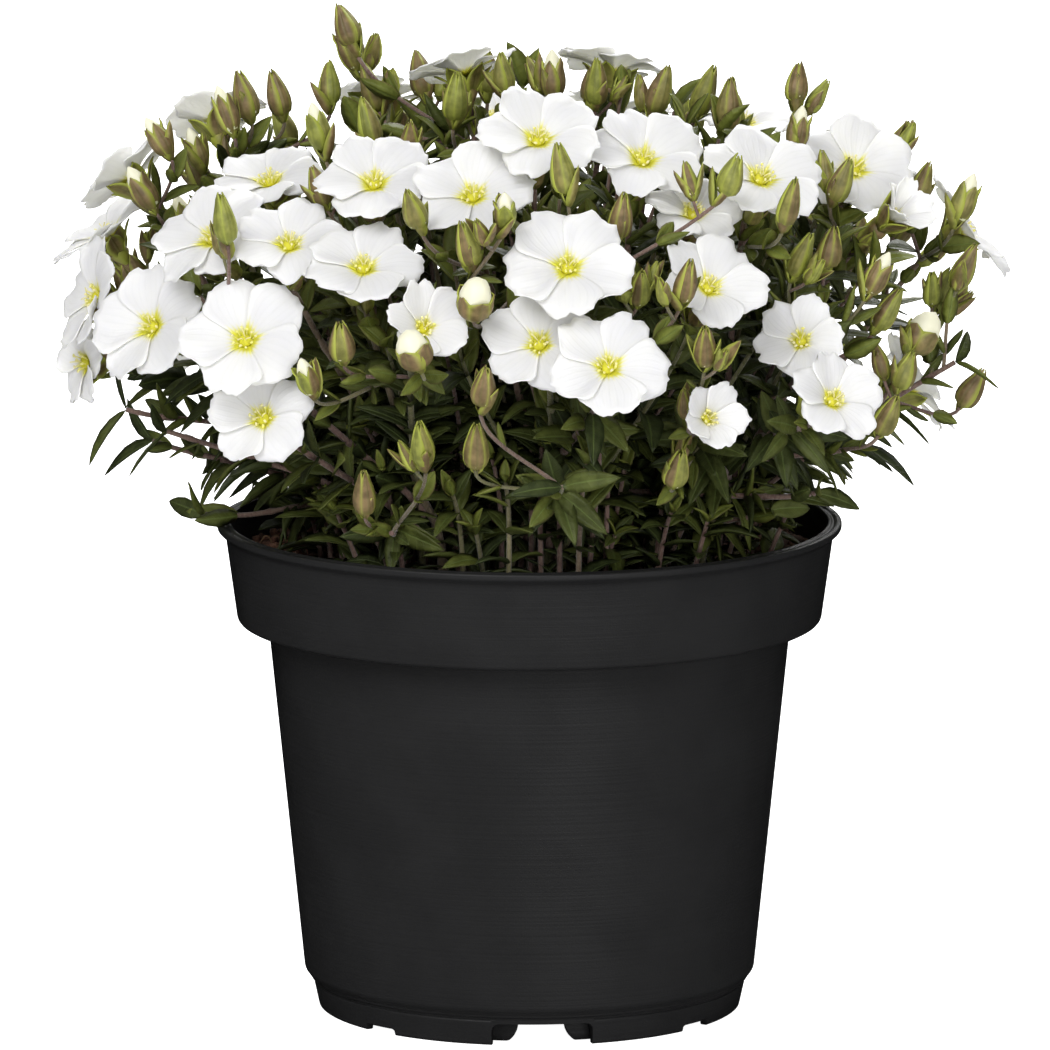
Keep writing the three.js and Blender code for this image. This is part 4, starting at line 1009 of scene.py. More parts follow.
def add_bud(shell, bud):
    """A bud in five pointed sepals that overlap like tiles, round a twisted cone of petals. The outline is
    the 0.8th power of the sine of pi times the 0.62nd power of the height. On a half-open bud the sepals
    are shorter, slimmer and spread at the tips, and the petals stand out of them as a cone, and on a
    bursting one as a ball."""
    across, along = sideways(bud.axis)
    foot = bud.middle - bud.axis * bud.length * 0.5
    frame_of = SimpleNamespace(middle=foot, axis=bud.axis, across=across, along=along)
    closed, ball = bud.open == 0, bud.open == 2
    cover, spread = ((1.0, (-0.05, 0.3)), (0.84, (0.25, 1.15)), (0.62, (-0.05, 1.0)))[bud.open]
    blunt, point = (1.2, 0.8) if bud.open == 1 else (1.0, 0.5)
    u = np.linspace(0, 1, 9)[None, :, None]
    v = np.linspace(-1, 1, 5)[None, None, :]
    lay = np.array([0.16, -0.04, 0.06, -0.1, 0.02])[:, None, None] * (1 - 0.6 * u)
    start = luck.uniform(0, 2 * np.pi)
    flare = smooth_step(0.7, 1.0, u) * luck.uniform(*spread, (5, 1, 1))
    shape = bud_profile((u * cover * 0.965) ** blunt) * (0.93 + 0.08 * (1 - v ** 2)) + 0.05 * u
    radius = bud.radius * shape * (1.24 if ball else 1) + lay + 0.08 * v * (1 - 0.7 * u) + flare
    half = (np.pi / 5) * 1.4 * np.clip(1 - u ** 2.2, 0, 1) ** point * (1 + 0.45 * u) + 0.02
    height = bud.length * cover * (u + luck.uniform(-0.04, 0.04, (5, 1, 1)) * u ** 3)
    grids = in_bloom(frame_of, radius, start + FIFTHS + half * v, height)
    tone = np.clip(luck.uniform(0.1, 0.9) + luck.uniform(-0.35, 0.35, 5), 0, 1)
    shell.add_slab(grids, grids - foot - bud.axis * bud.length * 0.4, SEPAL_THICK, SEPAL, tone)
    rows = np.linspace(0, 1, 6 if closed else 9)[:, None]
    turns = np.linspace(0, 2 * np.pi, 9 if closed else 16)
    tall = (0.84, 1.03, 0.98)[bud.open]
    if ball:
        radius = 1.12 * np.maximum(np.sin(np.pi * rows ** 0.95), 0) ** 0.5
    elif closed:
        radius = 0.88 * bud_profile(rows)
    else:
        radius = 0.88 * bud_profile((rows * tall * 0.965) ** blunt) ** 0.75
    radius = bud.radius * radius * (1 + 0.07 * np.cos(5 * turns + 6.0 * rows))
    shell.add(in_bloom(frame_of, radius, turns, bud.length * tall * rows), BUD_PETAL)


def shoot_fits(way):
    """Whether a shoot stays inside the rim as long as it is below it, and clear of the blooms."""
    over_rim = (np.hypot(way[:, 0], way[:, 1]) > INSIDE_RIM) & (way[:, 2] < POT_HEIGHT + 1.5)
    return not over_rim.any() and not any(meets_cup(bloom, way, 1.5) for bloom in blooms)


def nearest_foot(place):
    return int(np.argmin(np.hypot(feet[:, 0] - place[0], feet[:, 1] - place[1])))


def filler_shoots():
    """Filler shoots that rise steeply from the potting mix round the groups' feet and lean out to places
    spread through the crown, none of them through a bloom. Gives their ways and their groups."""
    centre = np.array([0.0, 0.0, CROWN_FOOT - 4])
    spread = crown_spread(2 * FILLER_SHOOTS, 0.08)
    ends = centre + (spread - centre) * luck.uniform(0.5, 0.98, len(spread))[:, None]
    ways, owners = [], []
    for end in ends:
        if len(ways) < FILLER_SHOOTS:
            owner = nearest_foot(end * GROUP_CIRCLE / CROWN_RADIUS)
            turn, out = luck.uniform(0, 2 * np.pi), luck.uniform(2, 9)
            start = feet[owner] + np.array([np.cos(turn) * out, np.sin(turn) * out, -2.0])
            way = bent_way(start, UP, end, unit(unit(end - centre) + 0.6 * UP), 33)
            if shoot_fits(way):
                ways.append(way)
                owners.append(owner)
    return np.array(ways), np.array(owners)


def rim_shoots():
    """Short shoots that rise from the edge of the potting mix and lean out over the pot's rim, spread by
    the golden angle, but for the two ends where the mix lies bare. Gives their ways and their groups."""
    ways, owners = [], []
    for step in range(RIM_SHOOTS):
        turn = step * GOLDEN_ANGLE
        away = np.array([np.sin(turn), -np.cos(turn), 0])
        out, lean, height = luck.uniform(30, 51), luck.uniform(2, 11), luck.uniform(97, 119)
        turn += luck.uniform(-0.3, 0.3)
        arrive = unit(np.array([np.sin(turn), -np.cos(turn), luck.uniform(0.8, 2.5)]))
        start = away * out + UP * (SOIL_TOP - 2.0)
        way = bent_way(start, UP, away * (out + lean) + UP * height, arrive, 17)
        if abs(start[0]) <= 45 and shoot_fits(way):
            ways.append(way)
            owners.append(nearest_foot(start))
    return np.array(ways), np.array(owners)


def clear_stalk(start, end, axis):
    """The way of a bud's stalk: straight at first, and turned into the bud's axis at its end as far as it
    stays clear of the blooms."""
    straight = unit(end - start)
    for part in (1.0, 0.6, 0.3, 0.0):
        way = bent_way(start, straight, end, unit(mixed(straight, axis, part)), 12)
        if not any(meets_cup(bloom, way, 0.9) for bloom in blooms):
            break
    return way


def side_bud(root, axis, buds_before):
    """A younger bud that leans out from beside an older one on a short stalk, or None where it would meet
    a bloom or another bud. Gives the bud and the way of its stalk."""
    first, second = sideways(axis)
    turn = luck.uniform(0, 2 * np.pi)
    way_out = unit(axis + luck.uniform(0.5, 1.0) * (first * np.cos(turn) + second * np.sin(turn)))
    bud_axis = unit(way_out + 0.5 * UP)
    length, stalk_length = luck.uniform(5.5, 8.0), luck.uniform(2.5, 5.5)
    foot = root + way_out * stalk_length
    bud = SimpleNamespace(middle=foot + bud_axis * length * 0.5, axis=bud_axis, open=0, length=length,
                          radius=length * luck.uniform(0.2, 0.24))
    marks = bud_marks(bud)
    if any(meets_cup(bloom, marks, 2.2) for bloom in blooms):
        return None
    if min(closest(marks, other) for other in buds_before) < 3.2:
        return None
    buds_before.append(marks)
    return bud, bent_way(root, way_out, foot, bud_axis, 7)[None]


def leafy_group(owner, all_bud_marks):
    """One group of leafy stems: its stems, stalks, cups of sepals, buds, the solids' leaves and more."""
    shell = Shell()
    own = [stem for stem in stems if stem.owner == owner]
    batches = [solid_blades([leaf for leaf in leaves if leaf.owner == owner])]
    bracts, side_roots = [], []
    leafy = lambda *settings: batches.append(paired_blades(*settings))
    for stem in own:
        last_way = stem.axis if stem.bloom else unit(stem.points[-1] - stem.points[-3])
        stem.way = flowing(stem.points, stem.stations, last_way, STEM_STEPS)
    ways = np.array([stem.way for stem in own])
    part = np.linspace(0, 1, STEM_STEPS)
    base = np.array([0.95 if stem.leads else 0.72 if stem.bloom else 0.58 for stem in own])[:, None]
    knots = 0.35 * np.exp(-((part * 6.0 % 1.0 - 0.5) / 0.06) ** 2) * (part < 0.93)
    shell.add(tubes(ways, mixed(base, 0.5, part) * (1 + knots), 7), STEM, luck.uniform(0.0, 0.8, len(own)))
    leafy(ways, [6, 10, 14, 18, 22, 26, 30], (11, 10.5), (0.35, 0.37), (0.75, 0.8), (0.15, 0.5))
    to_bloom = np.array([bool(stem.bloom) for stem in own])
    for chosen, nodes in ((ways[to_bloom], [34, 38]), (ways[~to_bloom], [38])):
        if len(chosen):
            leafy(chosen, nodes, (9, 7.5), (0.38, 0.44), (0.6, 0.5), (0.55, 0.9), (-0.1, 0.25))
    for stem in own:
        if stem.bloom:
            add_calyx(shell, stem.bloom)
            bracts.append(bract_blades(stem.way[None, :43], stem.axis))
            side_roots.append((stem.way[41], stem.axis, 0.8))
    for stalk in stalks:
        if stalk.owner == owner:
            number, index = stalk.origin
            row = int(round(index / (len(stems[number].points) - 1) * (STEM_STEPS - 1)))
            way = clear_stalk(stems[number].way[row], stalk.points[-1], stalk.bud.axis)[None]
            radii = mixed(0.42, 0.36, np.linspace(0, 1, 12))
            shell.add(tubes(way, radii, 6), STEM, luck.uniform(0.25, 0.8, 1))
            leafy(way, [2, 6], (8.5, 7.5), (0.4, 0.44), (0.6, 0.5), (0.5, 0.9), (-0.2, 0.15))
            bracts.append(bract_blades(way, stalk.bud.axis))
            side_roots.append((way[0, 9], stalk.bud.axis, 0.6))
            add_bud(shell, stalk.bud)
    for root, axis, chance in side_roots:
        for _ in range(2):
            made = side_bud(root, axis, all_bud_marks) if luck.random() < chance else None
            if made:
                bud, way = made
                shell.add(tubes(way, 0.34, 5), STEM, luck.uniform(0.3, 0.9, 1))
                bracts.append(bract_blades(way, bud.axis))
                add_bud(shell, bud)
    add_blades(shell, SEPAL, clear_blades(joined_blades(bracts), 0.6))
    mine = FILLERS[FILLER_OWNERS == owner]
    if len(mine):
        radii = mixed(0.72, 0.35, np.linspace(0, 1, mine.shape[1]))
        shell.add(tubes(mine, radii, 5), STEM, luck.uniform(0.2, 0.9, len(mine)))
        leafy(mine, [9, 13, 16, 19, 22, 25], (11, 10.5), (0.35, 0.36), (0.8, 0.8), (0.05, 0.4))
        leafy(mine, [28, 30, 32], (11.0, 8.8), (0.41, 0.47), (0.7, 0.4), (0.4, 0.8))
    low = LOW_SHOOTS[LOW_OWNERS == owner]
    if len(low):
        radii = mixed(0.62, 0.4, np.linspace(0, 1, low.shape[1]))
        shell.add(tubes(low, radii, 6), STEM, luck.uniform(0.0, 0.7, len(low)))
        leafy(low, [4, 7, 10, 13], (10, 9.5), (0.36, 0.38), (0.85, 0.8), (0.1, 0.5), (0.1, 0.5))
        leafy(low, [15, 16], (7.5, 6.0), (0.4, 0.42), (0.6, 0.35), (0.5, 0.9))
    add_blades(shell, LEAF, joined_blades(batches))
    return shell


def round_pot(radius, turns, height):
    """Places at a radius, an angle and a height. Angle 0 is the viewer's side."""
    return np.stack(np.broadcast_arrays(radius * np.sin(turns), -radius * np.cos(turns), height), axis=-1)


def turned(outline, turns):
    """A turned grid: each place of the outline, as radius and height, carried round the pot's axis."""
    outline = np.asarray(outline, dtype=float)
    return round_pot(outline[:, :1], turns, outline[:, 1:])


def rounded(corners, rounds, steps=5):
    """An outline with its corners rounded: each corner becomes a short quadratic curve that starts and ends
    at the corner's rounding on its two sides. Long straights get places 6 mm apart at most."""
    corners = np.asarray(corners, dtype=float)
    rows = [corners[:1]]
    t = np.linspace(0, 1, steps)[:, None]
    for corner, before, after, size in zip(corners[1:-1], corners, corners[2:], rounds):
        start = corner + (before - corner) / np.linalg.norm(before - corner) * size
        end = corner + (after - corner) / np.linalg.norm(after - corner) * size
        rows.append((1 - t) ** 2 * start + 2 * t * (1 - t) * corner + t ** 2 * end)
    places = np.concatenate(rows + [corners[-1:]])
    fine = []
    for low, high in zip(places, places[1:]):
        count = int(np.linalg.norm(high - low) // 6) + 1
        fine.append(mixed(low, high, np.arange(count)[:, None] / count))
    return np.concatenate(fine + [places[-1:]])


def azimuth_columns():
    """Angles round the pot: an even set, and close pairs at the sides of every notch and gate."""
    arches = ARCH_WIDTH / 2 - np.array([-0.06, 0, 0.15, 0.4, 0.8, 1.3, 2.0])
    gates = GATE_WIDTH / 2 + np.array([-0.02, 0.04, 0.3, 0.8, 1.5, 2.3, 3.1])
    both = np.concatenate([arches, gates])
    wide = np.concatenate([both / SKIRT_FOOT_RADIUS, both / INNER_RING_OUTER])
    small = (NOTCH_WIDTH / 2 - np.array([-0.05, 0.02, 0.25, 0.6])) / SKIRT_FOOT_RADIUS
    marks = [np.linspace(0, 2 * np.pi, 193)[:-1]]
    for azimuths, halves in ((ARCH_AZIMUTHS, wide), (NOTCH_AZIMUTHS, small)):
        for azimuth in np.radians(azimuths):
            marks += [(azimuth - halves) % (2 * np.pi), (azimuth + halves) % (2 * np.pi)]
    return np.append(np.unique(np.round(np.concatenate(marks), 5)), 2 * np.pi)


def across_from(turns, azimuth, radius):
    apart = (turns - np.radians(azimuth) + np.pi) % (2 * np.pi) - np.pi
    return np.abs(apart) * radius


def notch_edge(turns):
    """The height of the skirt's lower edge: nought but in the notches, whose tops have round corners."""
    edge = np.zeros_like(turns)
    for azimuth in ARCH_AZIMUTHS:
        inside = ARCH_WIDTH / 2 - across_from(turns, azimuth, SKIRT_FOOT_RADIUS)
        short = np.clip(ARCH_CORNER - inside, 0, None)
        corner = ARCH_CORNER - np.sqrt(np.maximum(ARCH_CORNER ** 2 - short ** 2, 0))
        edge = np.where(inside > 0, np.maximum(edge, ARCH_HEIGHT - corner), edge)
    for azimuth in NOTCH_AZIMUTHS:
        inside = NOTCH_WIDTH / 2 - across_from(turns, azimuth, SKIRT_FOOT_RADIUS)
        corner = 0.35 * (1 - smooth_step(0, 0.5, inside))
        edge = np.where(inside > 0, np.maximum(edge, NOTCH_HEIGHT - corner), edge)
    return edge


def gate_edge(turns):
    """The height of the inner ring's lower edge: it climbs to the floor in a quarter round at each gate."""
    edge = np.full_like(turns, INNER_RING_FOOT)
    for azimuth in ARCH_AZIMUTHS:
        beyond = across_from(turns, azimuth, INNER_RING_OUTER) - GATE_WIDTH / 2
        part = np.clip(beyond / GATE_FLARE, 0, 1)
        climb = (ARCH_HEIGHT + 0.1) * (1 - np.sqrt(np.maximum(1 - (1 - part) ** 2, 0)))
        edge = np.maximum(edge, np.where(beyond < 0, FLOOR_UNDER, climb))
    return edge


def add_floor(shell):
    """The floor, as a wedge for each drain hole: from the hole's circle its places run straight out to the
    wedge's border, which is the wall or the line halfway to the next hole."""
    half = np.pi / DRAIN_HOLES
    reach = SKIRT_FOOT_RADIUS - 0.6
    corner = np.arctan2(reach * np.sin(half), reach * np.cos(half) - DRAIN_CIRCLE)
    turn = np.sort(np.append(np.linspace(0, 2 * np.pi, 49), [corner, 2 * np.pi - corner]))
    cos, sin = np.cos(turn), np.sin(turn)
    to_wall = np.sqrt(reach ** 2 - (DRAIN_CIRCLE * sin) ** 2) - DRAIN_CIRCLE * cos
    speed = np.abs(sin) * np.cos(half) - cos * np.sin(half)
    to_side = DRAIN_CIRCLE * np.sin(half) / np.maximum(speed, 1e-6)
    out = mixed(DRAIN_RADIUS, np.minimum(to_wall, to_side), np.linspace(0, 1, 5)[:, None])
    across, aside = DRAIN_CIRCLE + out * cos, out * sin
    for step in range(DRAIN_HOLES):
        angle = 2 * np.pi * (step + 0.5) / DRAIN_HOLES
        x = across * np.cos(angle) - aside * np.sin(angle)
        y = across * np.sin(angle) + aside * np.cos(angle)
        top, under = (np.stack([x, y, np.full_like(x, z)], axis=-1) for z in (FLOOR_TOP, FLOOR_UNDER))
        shell.add(np.concatenate([top[::-1], under, top[-1:]]), 0)


def pot_shell():
    """The pot: a turned wall with its rolled lip, band, ledge, body and foot skirt, whose lower edge is
    lifted into the notches; the ring under the floor with its gates; and the floor with drain holes."""
    shell = Shell()
    turns = azimuth_columns()
    outline = rounded([
        (SKIRT_FOOT_RADIUS - SKIRT_WIDTH + 0.3, FLOOR_TOP - 0.4),
        (BODY_FOOT_RADIUS - WALL, FLOOR_TOP),
        (BODY_TOP_RADIUS - WALL, BAND_FOOT + WALL),
        (BAND_FOOT_RADIUS - WALL, BAND_FOOT + WALL),
        (BAND_TOP_RADIUS - WALL, POT_HEIGHT),
        (BAND_TOP_RADIUS - 0.5, POT_HEIGHT),
        (BAND_TOP_RADIUS, POT_HEIGHT - 0.35),
        (BAND_TOP_RADIUS + 0.6, POT_HEIGHT),
        (LIP_RADIUS, POT_HEIGHT - 0.05),
        (LIP_RADIUS, POT_HEIGHT - LIP_HEIGHT / 2),
        (BAND_TOP_RADIUS, POT_HEIGHT - LIP_HEIGHT),
        (BAND_FOOT_RADIUS, BAND_FOOT),
        (BODY_TOP_RADIUS, BAND_FOOT),
        (BODY_FOOT_RADIUS, BODY_FOOT),
        (SKIRT_TOP_RADIUS, SKIRT_TOP),
        (SKIRT_TOP_RADIUS - 0.05, SKIRT_TOP - 0.2),
    ], [0.5, 0.6, 1.0, 0.3, 0.2, 0.3, 0.25, 0.45, 0.35, 0.6, 1.1, 0.7, 0.55, 0.4])
    edge = notch_edge(turns)
    slope = (SKIRT_TOP_RADIUS - SKIRT_FOOT_RADIUS) / SKIRT_TOP
    rows = np.array([0.86, 0.7, 0.5, 0.3, 0.12, 0.03, 0.0])[:, None]
    chamfer = np.array([0, 0, 0, 0, 0, 0, 0.22])[:, None]
    height = edge + (SKIRT_TOP - 0.2 - edge) * rows
    inside_height = (edge + (FLOOR_UNDER + 0.3 - edge) * rows)[::-1]
    inside = SKIRT_FOOT_RADIUS - SKIRT_WIDTH
    shell.add(np.concatenate([
        turned(outline, turns),
        round_pot(SKIRT_FOOT_RADIUS + slope * height - chamfer, turns, height),
        round_pot(inside + chamfer[::-1], turns, inside_height),
        turned([(inside, FLOOR_UNDER + 0.3), outline[0]], turns),
    ]), 0)
    gate = gate_edge(turns)
    height = gate + (FLOOR_UNDER + 0.4 - gate) * np.array([1.0, 0.6, 0.25, 0.0])[:, None]
    outer = round_pot(INNER_RING_OUTER, turns, height)
    shell.add(np.concatenate([outer, round_pot(INNER_RING_INNER, turns, height[::-1]), outer[:1]]), 0)
    add_floor(shell)
    return shell


def lattice_noise(x, y, pitch, seed):
    """Smooth noise: random numbers at the crossings of a square net, blended between them."""
    table = np.random.default_rng(seed).random((64, 64))
    gx, gy = x / pitch + 32, y / pitch + 32
    ix, iy = np.floor(gx).astype(int), np.floor(gy).astype(int)
    fx, fy = smooth_step(0, 1, gx - ix), smooth_step(0, 1, gy - iy)
    row = lambda j: mixed(table[ix % 64, j % 64], table[(ix + 1) % 64, j % 64], fx)
    return mixed(row(iy), row(iy + 1), fy) - 0.5


def soil_height(x, y):
    """The solids' low humps, with lumps of 7, 3 and 1.3 mm laid over them, and banked up 4.5 mm higher
    against the pot's wall at the two ends."""
    humps = np.sin(x / SOIL_HUMPS) * np.cos(y / SOIL_HUMPS) + 0.6 * np.sin((x + 2 * y) / 9.0)
    lumps = sum(size * lattice_noise(x, y, pitch, seed)
                for size, pitch, seed in ((1.6, 7.0, 1), (1.3, 3.0, 2), (0.9, 1.3, 3)))
    bank = 4.5 * smooth_step(36, 50, np.hypot(x, y)) * smooth_step(22, 42, np.abs(x))
    return SOIL_TOP + SOIL_RELIEF * humps + lumps + bank


def soil_shell():
    """The potting mix: a round heap inside the pot with a lumpy top; crumbs of bark and peat, which are
    rough flattened balls spun at random; and fibres, thin tubes that bow sideways and up."""
    shell = Shell()
    slope = (BAND_TOP_RADIUS - BAND_FOOT_RADIUS) / (POT_HEIGHT - LIP_HEIGHT - BAND_FOOT)
    room = WALL + SOIL_GAP
    edge = BAND_FOOT_RADIUS - room + slope * (SOIL_TOP - BAND_FOOT)
    turns = np.linspace(0, 2 * np.pi, 181)
    radius = np.append([0.0], np.linspace(0.9, edge, 62))[:, None]
    x, y = radius * np.sin(turns), -radius * np.cos(turns)
    top = round_pot(radius, turns, soil_height(x, y) - 1.2 * smooth_step(edge - 2, edge, radius))
    top[:, -1] = top[:, 0]
    low = turned([
        (BAND_FOOT_RADIUS - room, BAND_FOOT + room),
        (BODY_TOP_RADIUS - room, BAND_FOOT + room),
        (BODY_FOOT_RADIUS - room, FLOOR_TOP + SOIL_GAP),
        (0.0, FLOOR_TOP + SOIL_GAP),
    ], turns)
    shell.add(np.concatenate([top, low]), 0)
    column = lambda low, high, count: luck.uniform(low, high, (count, 1))
    turn, out = column(0, 2 * np.pi, CRUMBS), (edge - 1.5) * np.sqrt(column(0, 1, CRUMBS))
    size = column(0.35, 1.5, CRUMBS) * np.array([1.0, 0.8, 0.6])
    x, y = out * np.cos(turn), out * np.sin(turn)
    centre = np.concatenate([x, y, soil_height(x, y) + size[:, 2:] * 0.4], axis=1)
    rows, around = np.linspace(0, np.pi, 5)[:, None], np.linspace(0, 2 * np.pi, 7)
    sides = np.sin(rows) * np.cos(around), np.sin(rows) * np.sin(around), np.cos(rows)
    ball = np.stack(np.broadcast_arrays(*sides), axis=-1)
    rough = luck.uniform(0.7, 1.25, (CRUMBS, 5, 7, 1))
    rough[:, :, -1] = rough[:, :, 0]
    rough[:, [0, -1]] = 1
    spin = np.linalg.qr(luck.normal(size=(CRUMBS, 3, 3)))[0]
    crumbs = np.einsum("nrcj,njk->nrck", ball * rough * size[:, None, None], spin)
    shell.add(centre[:, None, None] + crumbs, 0, luck.uniform(0, 1, CRUMBS))
    turn, out = column(0, 2 * np.pi, FIBRES), (edge - 5) * np.sqrt(column(0, 1, FIBRES))
    heading, long = column(0, 2 * np.pi, FIBRES), column(2, 6, FIBRES)
    part = np.linspace(-1, 1, 7)
    bow = column(-1.5, 1.5, FIBRES) * (1 - part ** 2)
    x = out * np.cos(turn) + np.cos(heading) * long * part / 2 - np.sin(heading) * bow
    y = out * np.sin(turn) + np.sin(heading) * long * part / 2 + np.cos(heading) * bow
    z = soil_height(x, y) + 0.25 + column(0, 1.6, FIBRES) * (1 - part ** 2)
    fibres = tubes(np.stack([x, y, z], axis=-1), column(0.09, 0.22, FIBRES), 4)
    shell.add(fibres, 0, luck.uniform(0.4, 1, FIBRES))
    return shell


# Materials: shared groups put out masks, and each material puts them on its own shader
def put(tree, socket, value):
    """Sets an input socket to a number or colour, or links another socket to it."""
    if isinstance(value, bpy.types.NodeSocket):
        tree.links.new(value, socket)
    else:
        socket.default_value = value


def node_with(tree, kind, inputs=(), **settings):
    """A new node with its settings, and its inputs, by name or number, set or linked."""
    node = tree.nodes.new(kind)
    for name, value in settings.items():
        setattr(node, name, value)
    for name, value in dict(inputs).items():
        put(tree, node.inputs[name], value)
    return node


def sums(tree, operation, *values):
    return node_with(tree, "ShaderNodeMath", enumerate(values), operation=operation).outputs[0]


def ranged(tree, value, low, high, new_low=0.0, new_high=1.0):
    """A smooth step of a value from the low end to the high one."""
    ends = {"Value": value, "From Min": low, "From Max": high, "To Min": new_low, "To Max": new_high}
    return node_with(tree, "ShaderNodeMapRange", ends, interpolation_type="SMOOTHSTEP").outputs["Result"]


def new_group(name, inputs, make):
    """A node group with number inputs, as name and default. make gives its outputs' names and sockets."""
    tree = bpy.data.node_groups.new(name, "ShaderNodeTree")
    for label, value in inputs.items():
        tree.interface.new_socket(label, in_out="INPUT", socket_type="NodeSocketFloat").default_value = value
    given = make(tree, tree.nodes.new("NodeGroupInput").outputs)
    for label in given:
        tree.interface.new_socket(label, in_out="OUTPUT", socket_type="NodeSocketFloat")
    node_with(tree, "NodeGroupOutput", given)
    return tree


def surface_parts(tree):
    """The piece's own UV: across a leaf, sepal or petal, and along it."""
    surface = node_with(tree, "ShaderNodeUVMap", uv_map="surface").outputs[0]
    return node_with(tree, "ShaderNodeSeparateXYZ", {0: surface}).outputs


def mottle_masks(tree, ins):
    """Noise of the object's own coordinates, spread over 0 to 1, with a scale and one for the height."""
    place = node_with(tree, "ShaderNodeTexCoord").outputs["Object"]
    stretch = node_with(tree, "ShaderNodeCombineXYZ", {"X": 1.0, "Y": 1.0, "Z": ins["Upright"]}).outputs[0]
    scaled = node_with(tree, "ShaderNodeVectorMath", {0: place, 1: stretch}, operation="MULTIPLY").outputs[0]
    noise = node_with(
        tree, "ShaderNodeTexNoise", {"Vector": scaled, "Scale": ins["Scale"], "Detail": ins["Detail"]})
    return {"Mask": ranged(tree, noise.outputs["Fac"], 0.3, 0.7)}


def blade_masks(tree, ins):
    """Marks of a leaf or sepal from its UV: the middle line, both margins, the base, and side veins."""
    parts = surface_parts(tree)
    aside = sums(tree, "ABSOLUTE", sums(tree, "SUBTRACT", parts["X"], 0.5))
    from_edge = sums(tree, "SUBTRACT", 0.5, aside)
    slanted = sums(tree, "MULTIPLY_ADD", aside, -9.0, sums(tree, "MULTIPLY", parts["Y"], 46.0))
    return {
        "Middle": ranged(tree, aside, 0.0, ins["Line"], 1.0, 0.0),
        "Margin": ranged(tree, from_edge, 0.0, ins["Edge"], 1.0, 0.0),
        "Base": ranged(tree, parts["Y"], 0.0, 0.35, 1.0, 0.0),
        "Vein": ranged(tree, sums(tree, "SINE", slanted), 0.75, 1.0),
    }


def petal_masks(tree, _):
    """Marks of a petal from its UV: the throat, a wider streaked yellow flush and fine veins along it."""
    parts = surface_parts(tree)
    waves = lambda number: sums(tree, "SINE", sums(tree, "MULTIPLY", parts["X"], number))
    fading = lambda low, high: ranged(tree, parts["Y"], low, high, 1.0, 0.0)
    return {
        "Throat": fading(0.12, 0.25),
        "Flush": sums(tree, "MULTIPLY", fading(0.14, 0.32), ranged(tree, waves(44.0), -0.4, 0.9, 0.15, 1.0)),
        "Vein": sums(tree, "MULTIPLY", ranged(tree, waves(60.0), 0.2, 1.0), fading(0.75, 0.98)),
    }


MOTTLE = new_group("mottle", {"Scale": 100.0, "Upright": 1.0, "Detail": 3.0}, mottle_masks)
BLADE_MARKS = new_group("blade_marks", {"Line": 0.06, "Edge": 0.12}, blade_masks)
PETAL_MARKS = new_group("petal_marks", {}, petal_masks)


class Finish:
    """One material: its shader's constants, and helpers that add groups, mixes and bumps to its tree."""

    def __init__(self, name, **settings):
        self.material = bpy.data.materials.new(name)
        self.material.use_nodes = True
        self.tree = self.material.node_tree
        self.shader = self.tree.nodes["Principled BSDF"]
        self.set(**settings)

    def set(self, **settings):
        """Sets or links inputs of the shader, whose names have an underscore for each space."""
        for label, value in settings.items():
            put(self.tree, self.shader.inputs[label.replace("_", " ")], value)

    def group(self, tree, **values):
        return node_with(self.tree, "ShaderNodeGroup", values.items(), node_tree=tree).outputs

    def mottle(self, scale, **values):
        return self.group(MOTTLE, Scale=scale, **values)["Mask"]

    def less(self, mask, amount):
        return sums(self.tree, "MULTIPLY", mask, amount)

    def plus(self, mask, amount, other):
        return sums(self.tree, "MULTIPLY_ADD", mask, amount, other)

    def mix(self, mask, first, second):
        """Blends two colours, each a colour or a socket, by a mask."""
        node = node_with(self.tree, "ShaderNodeMix", {"Factor": mask}, data_type="RGBA")
        ends = [each for each in node.inputs if each.type == "RGBA"]
        for socket, value in zip(ends, (first, second)):
            put(self.tree, socket, value if isinstance(value, bpy.types.NodeSocket) else (*value, 1.0))
        return [each for each in node.outputs if each.type == "RGBA"][0]

    def by_tone(self, low, high, first=None, second=None):
        """A mask of the piece's tone between two ends, or two colours blended by it."""
        tone = node_with(self.tree, "ShaderNodeAttribute", attribute_name="tone").outputs["Fac"]
        mask = ranged(self.tree, tone, low, high)
        return self.mix(mask, first, second) if first else mask

    def finished(self, color, height=None, strength=0.0, distance=0.0):
        """The material, with its colour and, where a height is given, a bump."""
        self.set(Base_Color=color)
        if height:
            settings = {"Height": height, "Strength": strength, "Distance": distance}
            self.set(Normal=node_with(self.tree, "ShaderNodeBump", settings).outputs[0])
        return self.material


def plastic_finish():
    """Black satin plastic: fine level lines left by the mould, a little dust, uneven gloss."""
    finish = Finish("pot_plastic", Roughness=0.45, Specular_IOR_Level=0.2)
    dust = finish.mottle(60.0, Detail=6.0)
    lines = finish.mottle(2.0, Upright=700.0, Detail=2.0)
    finish.set(Roughness=ranged(finish.tree, dust, 0.0, 1.0, 0.44, 0.49))
    color = finish.mix(dust, (0.0165, 0.0165, 0.0170), (0.0190, 0.0190, 0.0196))
    return finish.finished(color, finish.plus(finish.mottle(2500.0, Detail=2.0), 0.35, lines), 0.22, 0.00012)


def peat_finish():
    """Reddish-brown peat with darker hollows and straw-coloured bits."""
    finish = Finish("peat", Roughness=0.95)
    base = finish.mix(finish.mottle(260.0, Detail=6.0), (0.045, 0.022, 0.013), (0.22, 0.105, 0.065))
    color = finish.mix(finish.by_tone(0.72, 1.0), base, (0.26, 0.15, 0.08))
    return finish.finished(color, finish.mottle(1800.0, Detail=4.0), 0.8, 0.0004)


